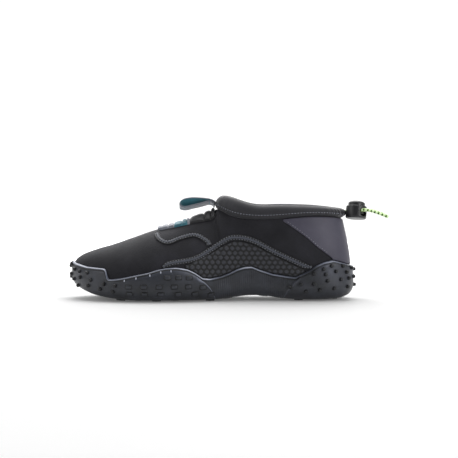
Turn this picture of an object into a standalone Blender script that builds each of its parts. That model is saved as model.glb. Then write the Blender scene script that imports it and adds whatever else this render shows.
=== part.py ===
"""Water shoe, left foot: knitted-neoprene upper in a moulded rubber outsole, with a drawcord.

The toe points to -X, the outer side of the foot to -Y, up is +Z, and the outsole's
pegs stand on z = 0. Tables hold shares of the named sizes: "along" is the share of
LENGTH from the heel to the toe, "out" the share of WIDTH, "up" the share of HEIGHT.
"""
import math

import bmesh
import bpy
import numpy as np
from mathutils import Matrix, Vector
from mathutils.bvhtree import BVHTree

LENGTH = 0.276
WIDTH = 0.094
HEIGHT = 0.1017
HEEL_X = 0.1375
CENTRE_X = 0.000434
CENTRE_Y = -0.000935

WALL = 0.0026
GAP = 0.0003
PANEL = 0.0009
PANEL_GAP = 0.0004
BINDING_HEIGHT = 0.0013
MARGIN = 0.0075

RUBBER_ARCH = 0.0021
RUBBER_LOBE = 0.0034
RUBBER_TOE = 0.0022
RUBBER_LIP = 0.0016

STUD_DIAMETER = 0.0034
STUD_HEIGHT = 0.0026
PAD_LENGTH = 0.0068
PAD_WIDTH = 0.0046
PAD_HEIGHT = 0.0012
PEG_DIAMETER = 0.0100
PEG_PITCH_X = 0.0175
PEG_PITCH_Y = 0.0155
PEG_HEIGHT = 0.0012
RIB_PITCH = 0.00625
RIB_WIDTH = 0.0022
RIB_HEIGHT = 0.0008
RIB_START = 0.2080
RIB_END = 0.4980
RIB_FOOT = 0.0020
RIB_FLOOR = 0.0085
RIB_TOP = 0.0026

INSOLE = 0.0040
INSOLE_GAP = 0.0004
INSOLE_INSET = 0.0024
CUFF_FABRIC = 0.0013
CUFF_BULGE = 0.0030
CUFF_INSIDE = 0.0085
STRIP_WIDTH = 0.022
STRIP_BASE = 0.0011
STRIP_RIB = 0.0014
LOOP_WIDTH = 0.011
LOOP_THICKNESS = 0.0012
CORD_DIAMETER = 0.0030

BARREL_RADIUS = 0.0104
BARREL_HEIGHT = 0.0125
BARREL_FLOOR = 0.0013
BUTTON_RADIUS = 0.0084
BUTTON_BORE = 0.0087
BUTTON_TOP = 0.0116
BUTTON_BOTTOM = -0.0020
WINDOW_TOP = 0.0062
WINDOW_WIDTH = 0.0100
HOLE_CENTRE = -0.0003
HOLE_HEIGHT = 0.0080
HOLE_WIDTH = 0.0100
CORD_LEVEL = 0.0018
LOCK_X = 0.1437
LOCK_Y = -0.0060
LOCK_Z = 0.0863
LOCK_YAW = -48.0
LOCK_LEAN = -10.0
LOCK_ROLL = 4.0

# One row per station, heel to toe: outer side along, out; inner side along, out;
# level of the widest line; fullness above it; fullness at the top.
PLAN = [
    (0.0000, 0.0000, 0.0000, 0.0000, 0.2753, 0.35, 0.35),
    (0.0072, 0.1170, 0.0072, 0.1117, 0.2753, 0.35, 0.35),
    (0.0272, 0.2128, 0.0272, 0.2021, 0.2753, 0.35, 0.35),
    (0.0634, 0.2872, 0.0634, 0.2745, 0.2704, 0.35, 0.35),
    (0.1141, 0.3298, 0.1141, 0.3117, 0.2655, 0.35, 0.35),
    (0.1793, 0.3457, 0.1793, 0.3191, 0.2557, 0.35, 0.35),
    (0.2446, 0.3426, 0.2446, 0.3053, 0.2458, 0.35, 0.35),
    (0.3098, 0.3362, 0.3098, 0.2872, 0.2360, 0.35, 0.35),
    (0.3641, 0.3362, 0.3641, 0.2819, 0.2262, 0.35, 0.35),
    (0.4040, 0.3436, 0.4040, 0.2872, 0.2163, 0.37, 0.34),
    (0.4293, 0.3532, 0.4293, 0.2957, 0.2124, 0.39, 0.33),
    (0.4438, 0.3606, 0.4438, 0.3032, 0.2094, 0.41, 0.33),
    (0.4620, 0.3702, 0.4620, 0.3138, 0.2065, 0.43, 0.37),
    (0.4928, 0.3894, 0.4928, 0.3319, 0.2016, 0.45, 0.42),
    (0.5308, 0.4170, 0.5308, 0.3596, 0.1967, 0.46, 0.45),
    (0.5743, 0.4500, 0.5743, 0.3957, 0.1917, 0.47, 0.47),
    (0.6214, 0.4830, 0.6214, 0.4340, 0.1868, 0.48, 0.49),
    (0.6721, 0.5064, 0.6721, 0.4660, 0.1868, 0.49, 0.50),
    (0.7228, 0.5106, 0.7228, 0.4872, 0.1868, 0.50, 0.51),
    (0.7736, 0.4947, 0.7736, 0.4915, 0.1917, 0.52, 0.52),
    (0.8207, 0.4638, 0.8207, 0.4787, 0.2016, 0.53, 0.52),
    (0.8605, 0.4181, 0.8641, 0.4553, 0.2163, 0.55, 0.52),
    (0.8949, 0.3617, 0.9040, 0.4255, 0.2360, 0.56, 0.51),
    (0.9275, 0.2872, 0.9402, 0.3809, 0.2606, 0.57, 0.50),
    (0.9565, 0.1968, 0.9674, 0.3191, 0.2852, 0.58, 0.50),
    (0.9790, 0.0957, 0.9859, 0.2468, 0.3048, 0.58, 0.50),
    (0.9938, 0.0032, 0.9964, 0.1681, 0.3147, 0.58, 0.50),
    (1.0000, -0.0851, 1.0000, 0.0851, 0.3176, 0.58, 0.50),
]
# Stations 0 to 12, centre back to centre front: collar edge along, out, up; cuff seam
# along, out, up.
COLLAR = [
    (0.0380, 0.0000, 0.8781, 0.0308, 0.0000, 0.7915),
    (0.0435, 0.0851, 0.8800, 0.0370, 0.0915, 0.7945),
    (0.0616, 0.1596, 0.8850, 0.0554, 0.1702, 0.8063),
    (0.0960, 0.2287, 0.8948, 0.0913, 0.2426, 0.8161),
    (0.1467, 0.2787, 0.9046, 0.1431, 0.2957, 0.8191),
    (0.2083, 0.3011, 0.9095, 0.2065, 0.3223, 0.8063),
    (0.2699, 0.2979, 0.9095, 0.2699, 0.3223, 0.7886),
    (0.3315, 0.2766, 0.9095, 0.3333, 0.3043, 0.7817),
    (0.3822, 0.2394, 0.9390, 0.3877, 0.2713, 0.7896),
    (0.4185, 0.1862, 0.9735, 0.4275, 0.2181, 0.8132),
    (0.4420, 0.1255, 0.9931, 0.4547, 0.1489, 0.8476),
    (0.4554, 0.0638, 0.9990, 0.4732, 0.0766, 0.8712),
    (0.4591, 0.0000, 1.0000, 0.4790, 0.0000, 0.8781),
]
FRONT = len(COLLAR) - 1
# Ridge of the vamp from the cuff seam to the top of the toe: along, inward shift, up.
RIDGE = [
    (0.4790, 0.0000, 0.8781),
    (0.5091, 0.0021, 0.8476),
    (0.5453, 0.0053, 0.8112),
    (0.5851, 0.0106, 0.7699),
    (0.6286, 0.0181, 0.7266),
    (0.6757, 0.0255, 0.6952),
    (0.7228, 0.0330, 0.6608),
    (0.7699, 0.0404, 0.6126),
    (0.8134, 0.0468, 0.5733),
    (0.8478, 0.0511, 0.5408),
    (0.8714, 0.0532, 0.5202),
]
TOE_SLOPE = 0.29
INSTEP_SLOPE = 0.55
# Middle line of the outsole's base: along, inward shift.
CENTRE_LINE = [
    (0.115, -0.009), (0.310, -0.024), (0.620, -0.024), (0.720, -0.012), (0.820, 0.008),
    (0.872, 0.025),
]
# Outsole base from heel to toe: along, level of its underside, thickness (up shares).
UNDERSIDE = [
    (0.0000, 0.0462, 0.0915),
    (0.0236, 0.0295, 0.0915),
    (0.0525, 0.0167, 0.0915),
    (0.0888, 0.0118, 0.0915),
    (0.1793, 0.0118, 0.0915),
    (0.2156, 0.0167, 0.0875),
    (0.2518, 0.0285, 0.0836),
    (0.2953, 0.0462, 0.0777),
    (0.3424, 0.0541, 0.0738),
    (0.3895, 0.0482, 0.0718),
    (0.4330, 0.0324, 0.0698),
    (0.4764, 0.0187, 0.0679),
    (0.5236, 0.0128, 0.0649),
    (0.5779, 0.0118, 0.0620),
    (0.7228, 0.0118, 0.0620),
    (0.7663, 0.0128, 0.0620),
    (0.8134, 0.0196, 0.0620),
    (0.8678, 0.0344, 0.0620),
    (0.9040, 0.0501, 0.0620),
    (0.9330, 0.0718, 0.0620),
    (0.9583, 0.0983, 0.0600),
    (0.9746, 0.1209, 0.0580),
    (0.9982, 0.1642, 0.0561),
]
# Top edge of the outsole's side: along, up.
SIDE_TOP = [
    (0.0000, 0.3353), (0.0163, 0.3491), (0.0344, 0.3668), (0.0670, 0.3923),
    (0.0996, 0.3746), (0.1286, 0.3412), (0.1467, 0.3038), (0.1757, 0.2655),
    (0.2011, 0.2340), (0.2373, 0.2448), (0.2808, 0.2635), (0.3243, 0.3019),
    (0.3533, 0.3343), (0.3786, 0.3304), (0.4076, 0.3078), (0.4348, 0.2734),
    (0.4620, 0.2439), (0.5054, 0.2222), (0.5308, 0.2281), (0.5598, 0.2822),
    (0.5851, 0.3127), (0.6214, 0.3284), (0.6576, 0.3245), (0.6866, 0.3097),
    (0.7228, 0.2802), (0.7772, 0.2507), (0.8134, 0.2301), (0.8460, 0.2183),
    (0.8620, 0.2183), (0.8714, 0.3048), (0.8786, 0.3127), (0.9402, 0.3245),
    (0.9801, 0.3461), (1.0000, 0.3589),
]
# Upper edge of the thick forefoot and heel lobes, where the side steps in: along, up.
LOBE_TOP = [
    (0.0000, 0.3265), (0.0670, 0.3825), (0.1286, 0.3304), (0.1757, 0.2557),
    (0.1884, 0.2270), (0.2025, 0.1980), (0.2192, 0.1560), (0.2446, 0.1082),
    (0.2721, 0.0816), (0.3359, 0.0760), (0.4330, 0.0640), (0.4656, 0.0620),
    (0.4801, 0.0680), (0.4946, 0.1013), (0.5054, 0.1416), (0.5236, 0.1867),
    (0.5417, 0.2221), (0.5598, 0.2674), (0.5851, 0.3029), (0.6214, 0.3186),
    (0.6576, 0.3147), (0.7228, 0.2704), (0.7772, 0.2409), (0.8460, 0.2085),
    (0.8620, 0.2085), (0.8714, 0.2950), (0.9402, 0.3147), (1.0000, 0.3491),
]
# Front edge of the heel counter and the line of the side binding: along, up.
COUNTER_EDGE = [
    (0.0000, 0.2000), (0.0660, 0.2000), (0.0690, 0.4090), (0.0967, 0.4680),
    (0.1246, 0.5250), (0.1551, 0.6010), (0.1859, 0.6640), (0.2192, 0.7280),
    (0.2543, 0.7880),
]
SIDE_BINDING = [
    (0.6540, 0.3600), (0.5779, 0.3960), (0.5090, 0.4810), (0.4656, 0.5570),
    (0.4185, 0.6120), (0.3859, 0.6080), (0.3424, 0.5750), (0.2953, 0.5070),
    (0.2409, 0.4340), (0.1866, 0.3650), (0.1540, 0.3330),
]
SIDE_BINDING_WIDTH = 0.0055
VAMP_BINDING = [
    (0.6935, 0.6400), (0.6900, 0.6150), (0.6730, 0.5760), (0.6576, 0.5620), (0.6286, 0.5850),
    (0.5924, 0.6180), (0.5612, 0.6340), (0.5326, 0.6060), (0.5120, 0.5660),
    (0.5075, 0.5380),
]
VAMP_BINDING_WIDTH = 0.0050
# Studs of the toe and heel: station, up. Pads of the forefoot side: station, up.
TOE_STUDS = [
    (26.4, 0.345), (25.2, 0.295), (24.3, 0.280), (23.3, 0.272), (26.3, 0.243),
    (25.4, 0.200), (24.2, 0.222), (22.9, 0.204), (24.8, 0.142), (23.2, 0.148),
    (21.9, 0.122), (20.6, 0.101), (21.5, 0.172), (20.4, 0.160),
]
HEEL_STUDS = [
    (3.29, 0.342), (2.40, 0.337), (1.20, 0.311), (3.79, 0.311), (2.98, 0.287),
    (2.02, 0.275), (0.70, 0.224), (4.34, 0.268), (3.67, 0.260), (3.56, 0.199),
    (2.60, 0.208), (1.91, 0.134), (5.61, 0.140), (5.05, 0.165), (4.34, 0.171),
    (3.12, 0.124), (4.76, 0.097), (4.00, 0.111), (1.75, 0.215),
]
CENTRE_STUDS = [(0.0, 0.292), (0.0, 0.140), (27.0, 0.318), (27.0, 0.215)]
SIDE_PADS = [
    (19.31, 0.150), (18.25, 0.150), (17.18, 0.150), (16.14, 0.150), (15.10, 0.150),
    (13.95, 0.140), (19.25, 0.083), (18.21, 0.081), (17.07, 0.080), (15.87, 0.080),
    (14.60, 0.080), (13.20, 0.070), (16.61, 0.238), (15.84, 0.238), (15.05, 0.235),
]
# Cross ribs of the instep strip along the vamp, start and end of each.
STRIP_RIBS = [
    (0.6923, 0.6765), (0.6755, 0.6550), (0.6525, 0.6350), (0.6330, 0.6045),
    (0.6025, 0.5870), (0.5855, 0.5785), (0.5725, 0.5275), (0.5235, 0.5010),
    (0.4985, 0.4850),
]
# Centre line of the pull loop in side view: along, up.
LOOP_LINE = [
    (0.4859, 0.9322), (0.4935, 0.9499), (0.5091, 0.9626), (0.5417, 0.9676),
    (0.5743, 0.9656), (0.5978, 0.9538), (0.6120, 0.9282), (0.6109, 0.9007),
    (0.5978, 0.8889), (0.5779, 0.8977), (0.5489, 0.9154), (0.5236, 0.9341),
    (0.5054, 0.9430), (0.4967, 0.9341), (0.4899, 0.9135),
]
LOOP_TILT = 22.0

STATIONS = [
    0, 0.6, 1.2, 2, 3, 4, 4.7, 5.4, 6, 7, 8, 9, 10, 11, 12, 12.6, 13.3, 14, 15, 16, 17, 18, 19, 20,
    21.05, 21.35, 22, 23, 24, 25, 26, 27,
]
LAST = len(PLAN) - 1

shoe = bpy.data.collections.new("water_shoe")
cutters = bpy.data.collections.new("cutters")
bpy.context.scene.collection.children.link(shoe)
bpy.context.scene.collection.children.link(cutters)
for item in list(bpy.data.objects):
    bpy.data.objects.remove(item, do_unlink=True)


def paint(name, colour, roughness):
    """Principled material of one plain colour."""
    made = bpy.data.materials.new(name)
    made.use_nodes = True
    shader = made.node_tree.nodes["Principled BSDF"]
    linear = [((c / 255 + 0.055) / 1.055) ** 2.4 for c in colour]
    shader.inputs["Base Color"].default_value = (*linear, 1.0)
    shader.inputs["Roughness"].default_value = roughness
    return made


def solid(name, vertices, faces, material, group=shoe):
    """Mesh object from a loft, with doubled points joined and faces turned out."""
    mesh = bpy.data.meshes.new(name)
    mesh.from_pydata([tuple(v) for v in vertices], [], faces)
    made = bpy.data.objects.new(name, mesh)
    group.objects.link(made)
    work = bmesh.new()
    work.from_mesh(mesh)
    bmesh.ops.remove_doubles(work, verts=work.verts, dist=0.00002)
    bmesh.ops.dissolve_degenerate(work, edges=work.edges, dist=0.00001)
    bmesh.ops.recalc_face_normals(work, faces=work.faces)
    work.to_mesh(mesh)
    work.free()
    if group is cutters:
        made.hide_render = True
        made.display_type = "WIRE"
    else:
        mesh.materials.append(material)
    return made


def join_with(target, other, operation):
    """Exact boolean of a cutter with a part."""
    step = target.modifiers.new(other.name, "BOOLEAN")
    step.operation = operation
    step.solver = "EXACT"
    step.object = other


def spline(knots, values, at):
    """Natural cubic spline through the knots."""
    knots, values = np.array(knots, float), np.array(values, float)
    at = np.clip(np.atleast_1d(np.array(at, float)), knots[0], knots[-1])
    step = np.diff(knots)
    slope = np.diff(values) / step
    count = len(knots)
    matrix, right = np.eye(count), np.zeros(count)
    for i in range(1, count - 1):
        matrix[i, i - 1:i + 2] = step[i - 1], 2 * (step[i - 1] + step[i]), step[i]
        right[i] = 6 * (slope[i] - slope[i - 1])
    bend = np.linalg.solve(matrix, right)
    i = np.clip(np.searchsorted(knots, at) - 1, 0, count - 2)
    a, b, h = knots[i + 1] - at, at - knots[i], step[i]
    return (
        (bend[i] * a ** 3 + bend[i + 1] * b ** 3) / (6 * h)
        + (values[i] / h - bend[i] * h / 6) * a
        + (values[i + 1] / h - bend[i + 1] * h / 6) * b
    )


def plan_loop(column, sign):
    """One plan column around the whole shoe, outer side first, wrapped past both ends."""
    outer = [row[column] * sign for row in PLAN]
    inner = [row[column + 2] for row in PLAN[-2:0:-1]]
    loop = outer + inner
    return loop[-4:] + loop + loop[:5]


LOOP_KNOTS = list(range(-4, 2 * LAST + 5))


def widest(station, side):
    """Point of the upper's widest line: x, y, z."""
    around = station if side < 0 else (2 * LAST - station) % (2 * LAST)
    x = HEEL_X - spline(LOOP_KNOTS, plan_loop(0, 1), around)[0] * LENGTH
    y = spline(LOOP_KNOTS, plan_loop(1, -1), around)[0] * WIDTH
    z = spline(range(LAST + 1), [row[4] for row in PLAN], station)[0] * HEIGHT
    return np.array((x, y, z))


def collar_point(station, side, first):
    """Point of the collar edge (first 0) or of the cuff seam (first 3)."""
    rows = COLLAR[:0:-1] + COLLAR + COLLAR[-2::-1]
    signs = [-1] * FRONT + [1] * (FRONT + 1) + [-1] * FRONT
    knots = range(-FRONT, 2 * FRONT + 1)
    if first == 0 or station < FRONT - 0.001:
        along = spline(knots, [r[first] for r in rows], station)[0]
        up = spline(knots, [r[first + 2] for r in rows], station)[0]
    else:
        along, up = COLLAR[-1][first], COLLAR[-1][first + 2]
    out = spline(knots, [r[first + 1] * s for r, s in zip(rows, signs)], station)[0]
    return np.array((HEEL_X - along * LENGTH, side * out * WIDTH, up * HEIGHT))


def ridge_point(station):
    """Point of the vamp's ridge, which ends on top of the toe."""
    at = min(station - FRONT, len(RIDGE) - 1)
    knots = range(len(RIDGE))
    along, out, up = (spline(knots, [r[i] for r in RIDGE], at)[0] for i in range(3))
    return np.array((HEEL_X - along * LENGTH, out * WIDTH, up * HEIGHT))


def centre_point(station):
    """Middle of the outsole's base beside a station: x, y."""
    x = (widest(station, -1)[0] + widest(station, 1)[0]) / 2
    along = min(max((HEEL_X - x) / LENGTH, CENTRE_LINE[0][0]), CENTRE_LINE[-1][0])
    inward = np.interp(along, [r[0] for r in CENTRE_LINE], [r[1] for r in CENTRE_LINE])
    return np.array((HEEL_X - along * LENGTH, inward * WIDTH))


def base_level(x):
    """Level of the outsole's underside at x."""
    along = (HEEL_X - x) / LENGTH
    return spline([r[0] for r in UNDERSIDE], [r[1] for r in UNDERSIDE], along)[0] * HEIGHT


def base_thickness(x):
    """Thickness of the outsole's base at x."""
    along = (HEEL_X - x) / LENGTH
    return spline([r[0] for r in UNDERSIDE], [r[2] for r in UNDERSIDE], along)[0] * HEIGHT


def bezier(a, b, c, d, share):
    """Cubic curve at the given shares."""
    s = np.array(share)[:, None]
    return (1 - s) ** 3 * a + 3 * (1 - s) ** 2 * s * b + 3 * (1 - s) * s ** 2 * c + s ** 3 * d


def column(station, side, low, high):
    """Outer face of the upper from the bottom edge to the ridge or the cuff seam."""
    wide = widest(station, side)
    middle = centre_point(station)
    inward = np.append(middle - wide[:2], 0.0)
    inward /= np.linalg.norm(inward)
    foot = wide + inward * MARGIN
    foot[2] = base_level(foot[0]) + base_thickness(foot[0]) + GAP
    rise = wide[2] - foot[2]
    lower = bezier(foot, foot - inward * MARGIN * 0.62, wide - np.array((0, 0, rise * 0.55)),
                   wide, np.linspace(0, 1, low + 1))
    fullness = spline(range(LAST + 1), [r[5] for r in PLAN], station)[0]
    crown = spline(range(LAST + 1), [r[6] for r in PLAN], station)[0]
    if station <= FRONT:
        top = collar_point(station, side, 3)
        down = top - collar_point(station, side, 0)
        down /= np.linalg.norm(down)
        turn = min(max((station - 7.5) / 4.5, 0.0), 1.0)
        turn = 0.62 * turn * turn * (3 - 2 * turn)
        down = down * (1 - turn) + np.array((0, side * turn, 0))
        down /= np.linalg.norm(down)
        second = top + down * crown * np.linalg.norm(wide - top)
    else:
        top = ridge_point(station)
        across = np.append((wide - top)[:2], 0.0)
        second = top + across * crown
        fall = min(max((station - FRONT) / 5.0, 0.0), 1.0)
        fall = INSTEP_SLOPE * (1 - fall * fall * (3 - 2 * fall))
        second[2] += TOE_SLOPE * (second[0] - top[0]) - fall * np.linalg.norm(across) * crown
    first = wide + np.array((0, 0, fullness * (top[2] - wide[2])))
    upper = bezier(wide, first, second, top, np.linspace(0, 1, high + 1))
    return np.vstack((lower, upper[1:]))


def surface(stations, low, high):
    """Columns around the shoe with their outward directions, outer side first."""
    around = [(s, -1) for s in stations] + [(s, 1) for s in stations[-2:0:-1]]
    grid = np.array([column(s, side, low, high) for s, side in around])
    ahead, behind = np.roll(grid, -1, axis=0), np.roll(grid, 1, axis=0)
    along = ahead - behind
    rise = np.gradient(grid, axis=1)
    out = np.cross(rise, along)
    out /= np.maximum(np.linalg.norm(out, axis=2), 1e-12)[:, :, None]
    for k, (station, side) in enumerate(around):
        if station > FRONT:
            slope = ridge_point(min(station + 0.3, 22.0)) - ridge_point(min(station - 0.3, 21.4))
            normal = np.array((-slope[2], 0.0, slope[0]))
            out[k, -1] = normal / np.linalg.norm(normal) * (1 if normal[2] > 0 else -1)
    return around, grid, out


def grid_faces(columns, rows, closed=True, turned=9999):
    """Triangles between neighbouring columns; the diagonal turns from one row on."""
    faces = []
    for k in range(columns if closed else columns - 1):
        n = (k + 1) % columns
        for j in range(rows - 1):
            a, b, c, d = k * rows + j, n * rows + j, n * rows + j + 1, k * rows + j + 1
            faces += [(a, b, d), (b, c, d)] if j >= turned else [(a, b, c), (a, c, d)]
    return faces


def slab(name, under, over, material, closed=False, group=shoe):
    """Closed body between two grids of points."""
    columns, rows = under.shape[:2]
    faces = grid_faces(columns, rows, closed)
    base = columns * rows
    faces += [tuple(base + i for i in face[::-1]) for face in faces]
    for k in range(columns if closed else columns - 1):
        n = (k + 1) % columns
        for j in (0, rows - 1):
            faces.append((k * rows + j, n * rows + j, base + n * rows + j, base + k * rows + j))
    if not closed:
        for k in (0, columns - 1):
            for j in range(rows - 1):
                a, b = k * rows + j, k * rows + j + 1
                faces.append((a, b, base + b, base + a))
    points = np.vstack((under.reshape(-1, 3), over.reshape(-1, 3)))
    return solid(name, points, faces, material, group)


def height_of(table, along):
    """Level of a side-view line at a share of the length."""
    line = sorted(table)
    return np.interp(along, [r[0] for r in line], [r[1] for r in line]) * HEIGHT


def lowest_at(points, level):
    """Row share at which a column first reaches a level."""
    heights = points[:, 2]
    for j in range(len(heights) - 1):
        if heights[j] <= level <= heights[j + 1]:
            return j + (level - heights[j]) / max(heights[j + 1] - heights[j], 1e-9)
    return len(heights) - 1.0


def pick(values, share):
    """Value of a column between its rows."""
    j = min(int(share), len(values) - 2)
    f = share - j
    return values[j] * (1 - f) + values[j + 1] * f


neoprene = paint("upper_neoprene", (58, 58, 64), 0.85)
rubber = paint("outsole_rubber", (66, 68, 75), 0.55)
foam = paint("insole_foam", (48, 48, 52), 0.9)
knit = paint("collar_knit", (72, 73, 79), 0.8)
counter_film = paint("heel_counter_film", (93, 91, 105), 0.6)
mesh_film = paint("side_panel_film", (53, 54, 59), 0.7)
tape = paint("binding_tape", (66, 69, 77), 0.6)
webbing = paint("loop_webbing", (120, 130, 135), 0.8)
strip_rubber = paint("strip_rubber", (80, 110, 122), 0.6)
cord_fibre = paint("drawcord_fibre", (190, 215, 140), 0.7)
plastic = paint("lock_plastic", (52, 52, 54), 0.45)

# Upper: one sheet of neoprene over the last, open at the collar and underneath.
LOW, HIGH = 3, 6
ring, skin, out = surface(STATIONS, LOW, HIGH)
rows = LOW + HIGH + 1
vertices = list(skin.reshape(-1, 3))
faces = grid_faces(len(ring), rows)
collar_ring = [k for k, (station, side) in enumerate(ring) if station <= FRONT]
edge = {}
for k in collar_ring:
    station, side = ring[k]
    edge[k] = len(vertices)
    vertices.append(collar_point(station, side, 0))
order = sorted(collar_ring, key=lambda k: ring[k][0] * ring[k][1])
for k, n in zip(order, order[1:]):
    faces.append((k * rows + rows - 1, n * rows + rows - 1, edge[n], edge[k]))
upper = solid("upper", vertices, faces, neoprene)
wall = upper.modifiers.new("wall", "SOLIDIFY")
wall.thickness = WALL
wall.offset = -1.0
wall.use_even_offset = True
wall.use_quality_normals = True

# The upper's outer face again, to lay the overlays on.
skin_tree = BVHTree.FromPolygons(
    [tuple(p) for p in skin.reshape(-1, 3)], grid_faces(len(ring), rows), all_triangles=False)


def on_skin(along, up, side):
    """Point of the upper's side seen at a place in side view."""
    start = Vector((HEEL_X - along * LENGTH, side * 0.2, up * HEIGHT))
    return np.array(skin_tree.ray_cast(start, Vector((0, -side, 0)))[0])


def near_skin(point):
    """Nearest point of the upper's outer face and its direction."""
    place, normal, _, _ = skin_tree.find_nearest(Vector(point))
    return np.array(place), -np.array(normal)


# Outsole: base, side with thick lobes, top edge and inner face in one rubber moulding.
def rubber_side(station):
    """Thickness of the outsole's side below the lobe line."""
    return float(np.interp(station, (20.9, 21.3), (RUBBER_LOBE, RUBBER_TOE)))


def sole_column(k):
    """Closed section of the outsole at one column, from the middle of the underside."""
    station, side = ring[k]
    points, normals = skin[k], out[k]
    along = (HEEL_X - widest(station, -1)[0]) / LENGTH
    top = lowest_at(points, height_of(SIDE_TOP, along))
    lobe = min(lowest_at(points, height_of(LOBE_TOP, along)), top - 0.12)
    x, y = centre_point(station)
    foot = points[0]
    low = base_level(foot[0])
    thick = base_thickness(foot[0])
    section = [np.array((x, y, base_level(x))),
               np.array(((x + foot[0]) / 2, (y + foot[1]) / 2, base_level((x + foot[0]) / 2))),
               np.array((foot[0], foot[1], low))]
    side_thick = rubber_side(station)
    for share in (0.3, 0.6, 1.0):
        at = lobe * share
        blend = min(at / LOW, 1.0)
        blend = blend * blend * (3 - 2 * blend)
        depth = (thick + GAP) * (1 - blend) + (side_thick + GAP) * blend
        section.append(pick(points, at) + pick(normals, at) * depth)
    inner = RUBBER_ARCH if station < 21.2 else RUBBER_TOE - 0.0003
    for at in (lobe + 0.06, (lobe + top) / 2, top):
        section.append(pick(points, at) + pick(normals, at) * (
            (RUBBER_LIP if at == top else inner) + GAP))
    for at in (top, min(5.0, top), min(4.0, top), 3.0, 2.0, 1.0, 0.0):
        section.append(pick(points, at) + pick(normals, at) * GAP)
    floor = foot[2] - GAP
    section[-1] = np.array((foot[0], foot[1], floor))
    mid = (x + foot[0]) / 2
    section.append(np.array((mid, (y + foot[1]) / 2, base_level(mid) + base_thickness(mid))))
    section.append(np.array((x, y, base_level(x) + base_thickness(x))))
    return section


sections = np.array([sole_column(k) for k in range(len(ring))])
columns, count = sections.shape[:2]
faces = grid_faces(columns, count, turned=9)
outsole = solid("outsole", sections.reshape(-1, 3), faces, rubber)
sole_tree = BVHTree.FromPolygons(
    [tuple(p) for p in sections.reshape(-1, 3)], faces, all_triangles=False)


def peg(place, normal, turn, half_long, half_wide, depth, height, sides, taper):
    """Tapered stud standing on a face: points and faces."""
    normal = Vector(normal).normalized()
    tangent = Vector(turn) - Vector(turn).dot(normal) * normal
    tangent.normalize()
    other = normal.cross(tangent)
    points = []
    for level, size in ((-depth, 1.0), (height, taper)):
        for i in range(sides):
            angle = 2 * math.pi * (i + 0.5) / sides
            points.append(Vector(place) + normal * level
                          + tangent * (math.cos(angle) * half_long * size)
                          + other * (math.sin(angle) * half_wide * size))
    faces = [tuple(range(sides))[::-1], tuple(range(sides, 2 * sides))]
    for i in range(sides):
        n = (i + 1) % sides
        faces.append((i, n, sides + n, sides + i))
    return points, faces


def gather(name, pieces):
    """One cutter from several small closed bodies."""
    points, faces = [], []
    for some, more in pieces:
        faces += [tuple(i + len(points) for i in face) for face in more]
        points += some
    return solid(name, points, faces, None, cutters)


def on_sole(station, up, side):
    """Point and direction of the outsole's side at a station and level."""
    wide = widest(station, side)
    middle = np.append(centre_point(station), 0.0)
    outward = wide * (1, 1, 0) - middle
    outward /= np.linalg.norm(outward)
    start = middle + outward * 0.15 + np.array((0, 0, up * HEIGHT))
    place, normal, _, _ = sole_tree.ray_cast(Vector(start), Vector(-outward))
    normal = Vector(normal)
    if normal.dot(Vector(outward)) < 0:
        normal = -normal
    return np.array(place), np.array(normal)


studs = []
for station, up in TOE_STUDS + HEEL_STUDS:
    for side in (-1, 1):
        place, normal = on_sole(station, up, side)
        studs.append(peg(place, normal, (0, 0, 1), STUD_DIAMETER / 2, STUD_DIAMETER / 2,
                         0.0008, STUD_HEIGHT, 6, 0.72))
for station, up in CENTRE_STUDS:
    place, normal = on_sole(station, up, -1)
    studs.append(peg(place, normal, (0, 0, 1), STUD_DIAMETER / 2, STUD_DIAMETER / 2,
                     0.0008, STUD_HEIGHT, 6, 0.72))

for station, up in SIDE_PADS:
    for side in (-1, 1):
        place, normal = on_sole(station, up, side)
        studs.append(peg(place, normal, (1, 0, 0), PAD_LENGTH / 2, PAD_WIDTH / 2,
                        0.0008, PAD_HEIGHT, 8, 0.86))

outline = np.array([skin[k][0] for k in range(len(ring))])


def inside_base(x, y, inset):
    """Whether a spot lies within the base's outline by an inset."""
    crossing = []
    for a, b in zip(outline, np.roll(outline, -1, axis=0)):
        if (a[0] - x) * (b[0] - x) <= 0 and a[0] != b[0]:
            crossing.append(a[1] + (b[1] - a[1]) * (x - a[0]) / (b[0] - a[0]))
    return len(crossing) >= 2 and min(crossing) + inset < y < max(crossing) - inset


for i in range(int((RIB_END - RIB_START) * LENGTH / RIB_PITCH) + 1):
    along = RIB_START + i * RIB_PITCH / LENGTH
    x = HEEL_X - along * LENGTH
    low = max(height_of(LOBE_TOP, along) + RIB_FOOT, RIB_FLOOR)
    high = height_of(SIDE_TOP, along) - RIB_TOP
    for side in (-1, 1):
        points = []
        for z in (low, (low + high) / 2, high):
            place, _, _, _ = sole_tree.ray_cast(Vector((x, side * 0.2, z)),
                                                Vector((0, -side, 0)))
            for dx, dy in ((-0.5, -0.0006), (0.5, -0.0006), (0.28, RIB_HEIGHT),
                           (-0.28, RIB_HEIGHT)):
                points.append(place + Vector((dx * RIB_WIDTH, side * dy, 0)))
        faces = [(0, 1, 2, 3), (8, 9, 10, 11)]
        for j in (0, 4):
            faces += [(j + n, j + (n + 1) % 4, j + 4 + (n + 1) % 4, j + 4 + n)
                      for n in range(4)]
        studs.append((points, faces))

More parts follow.
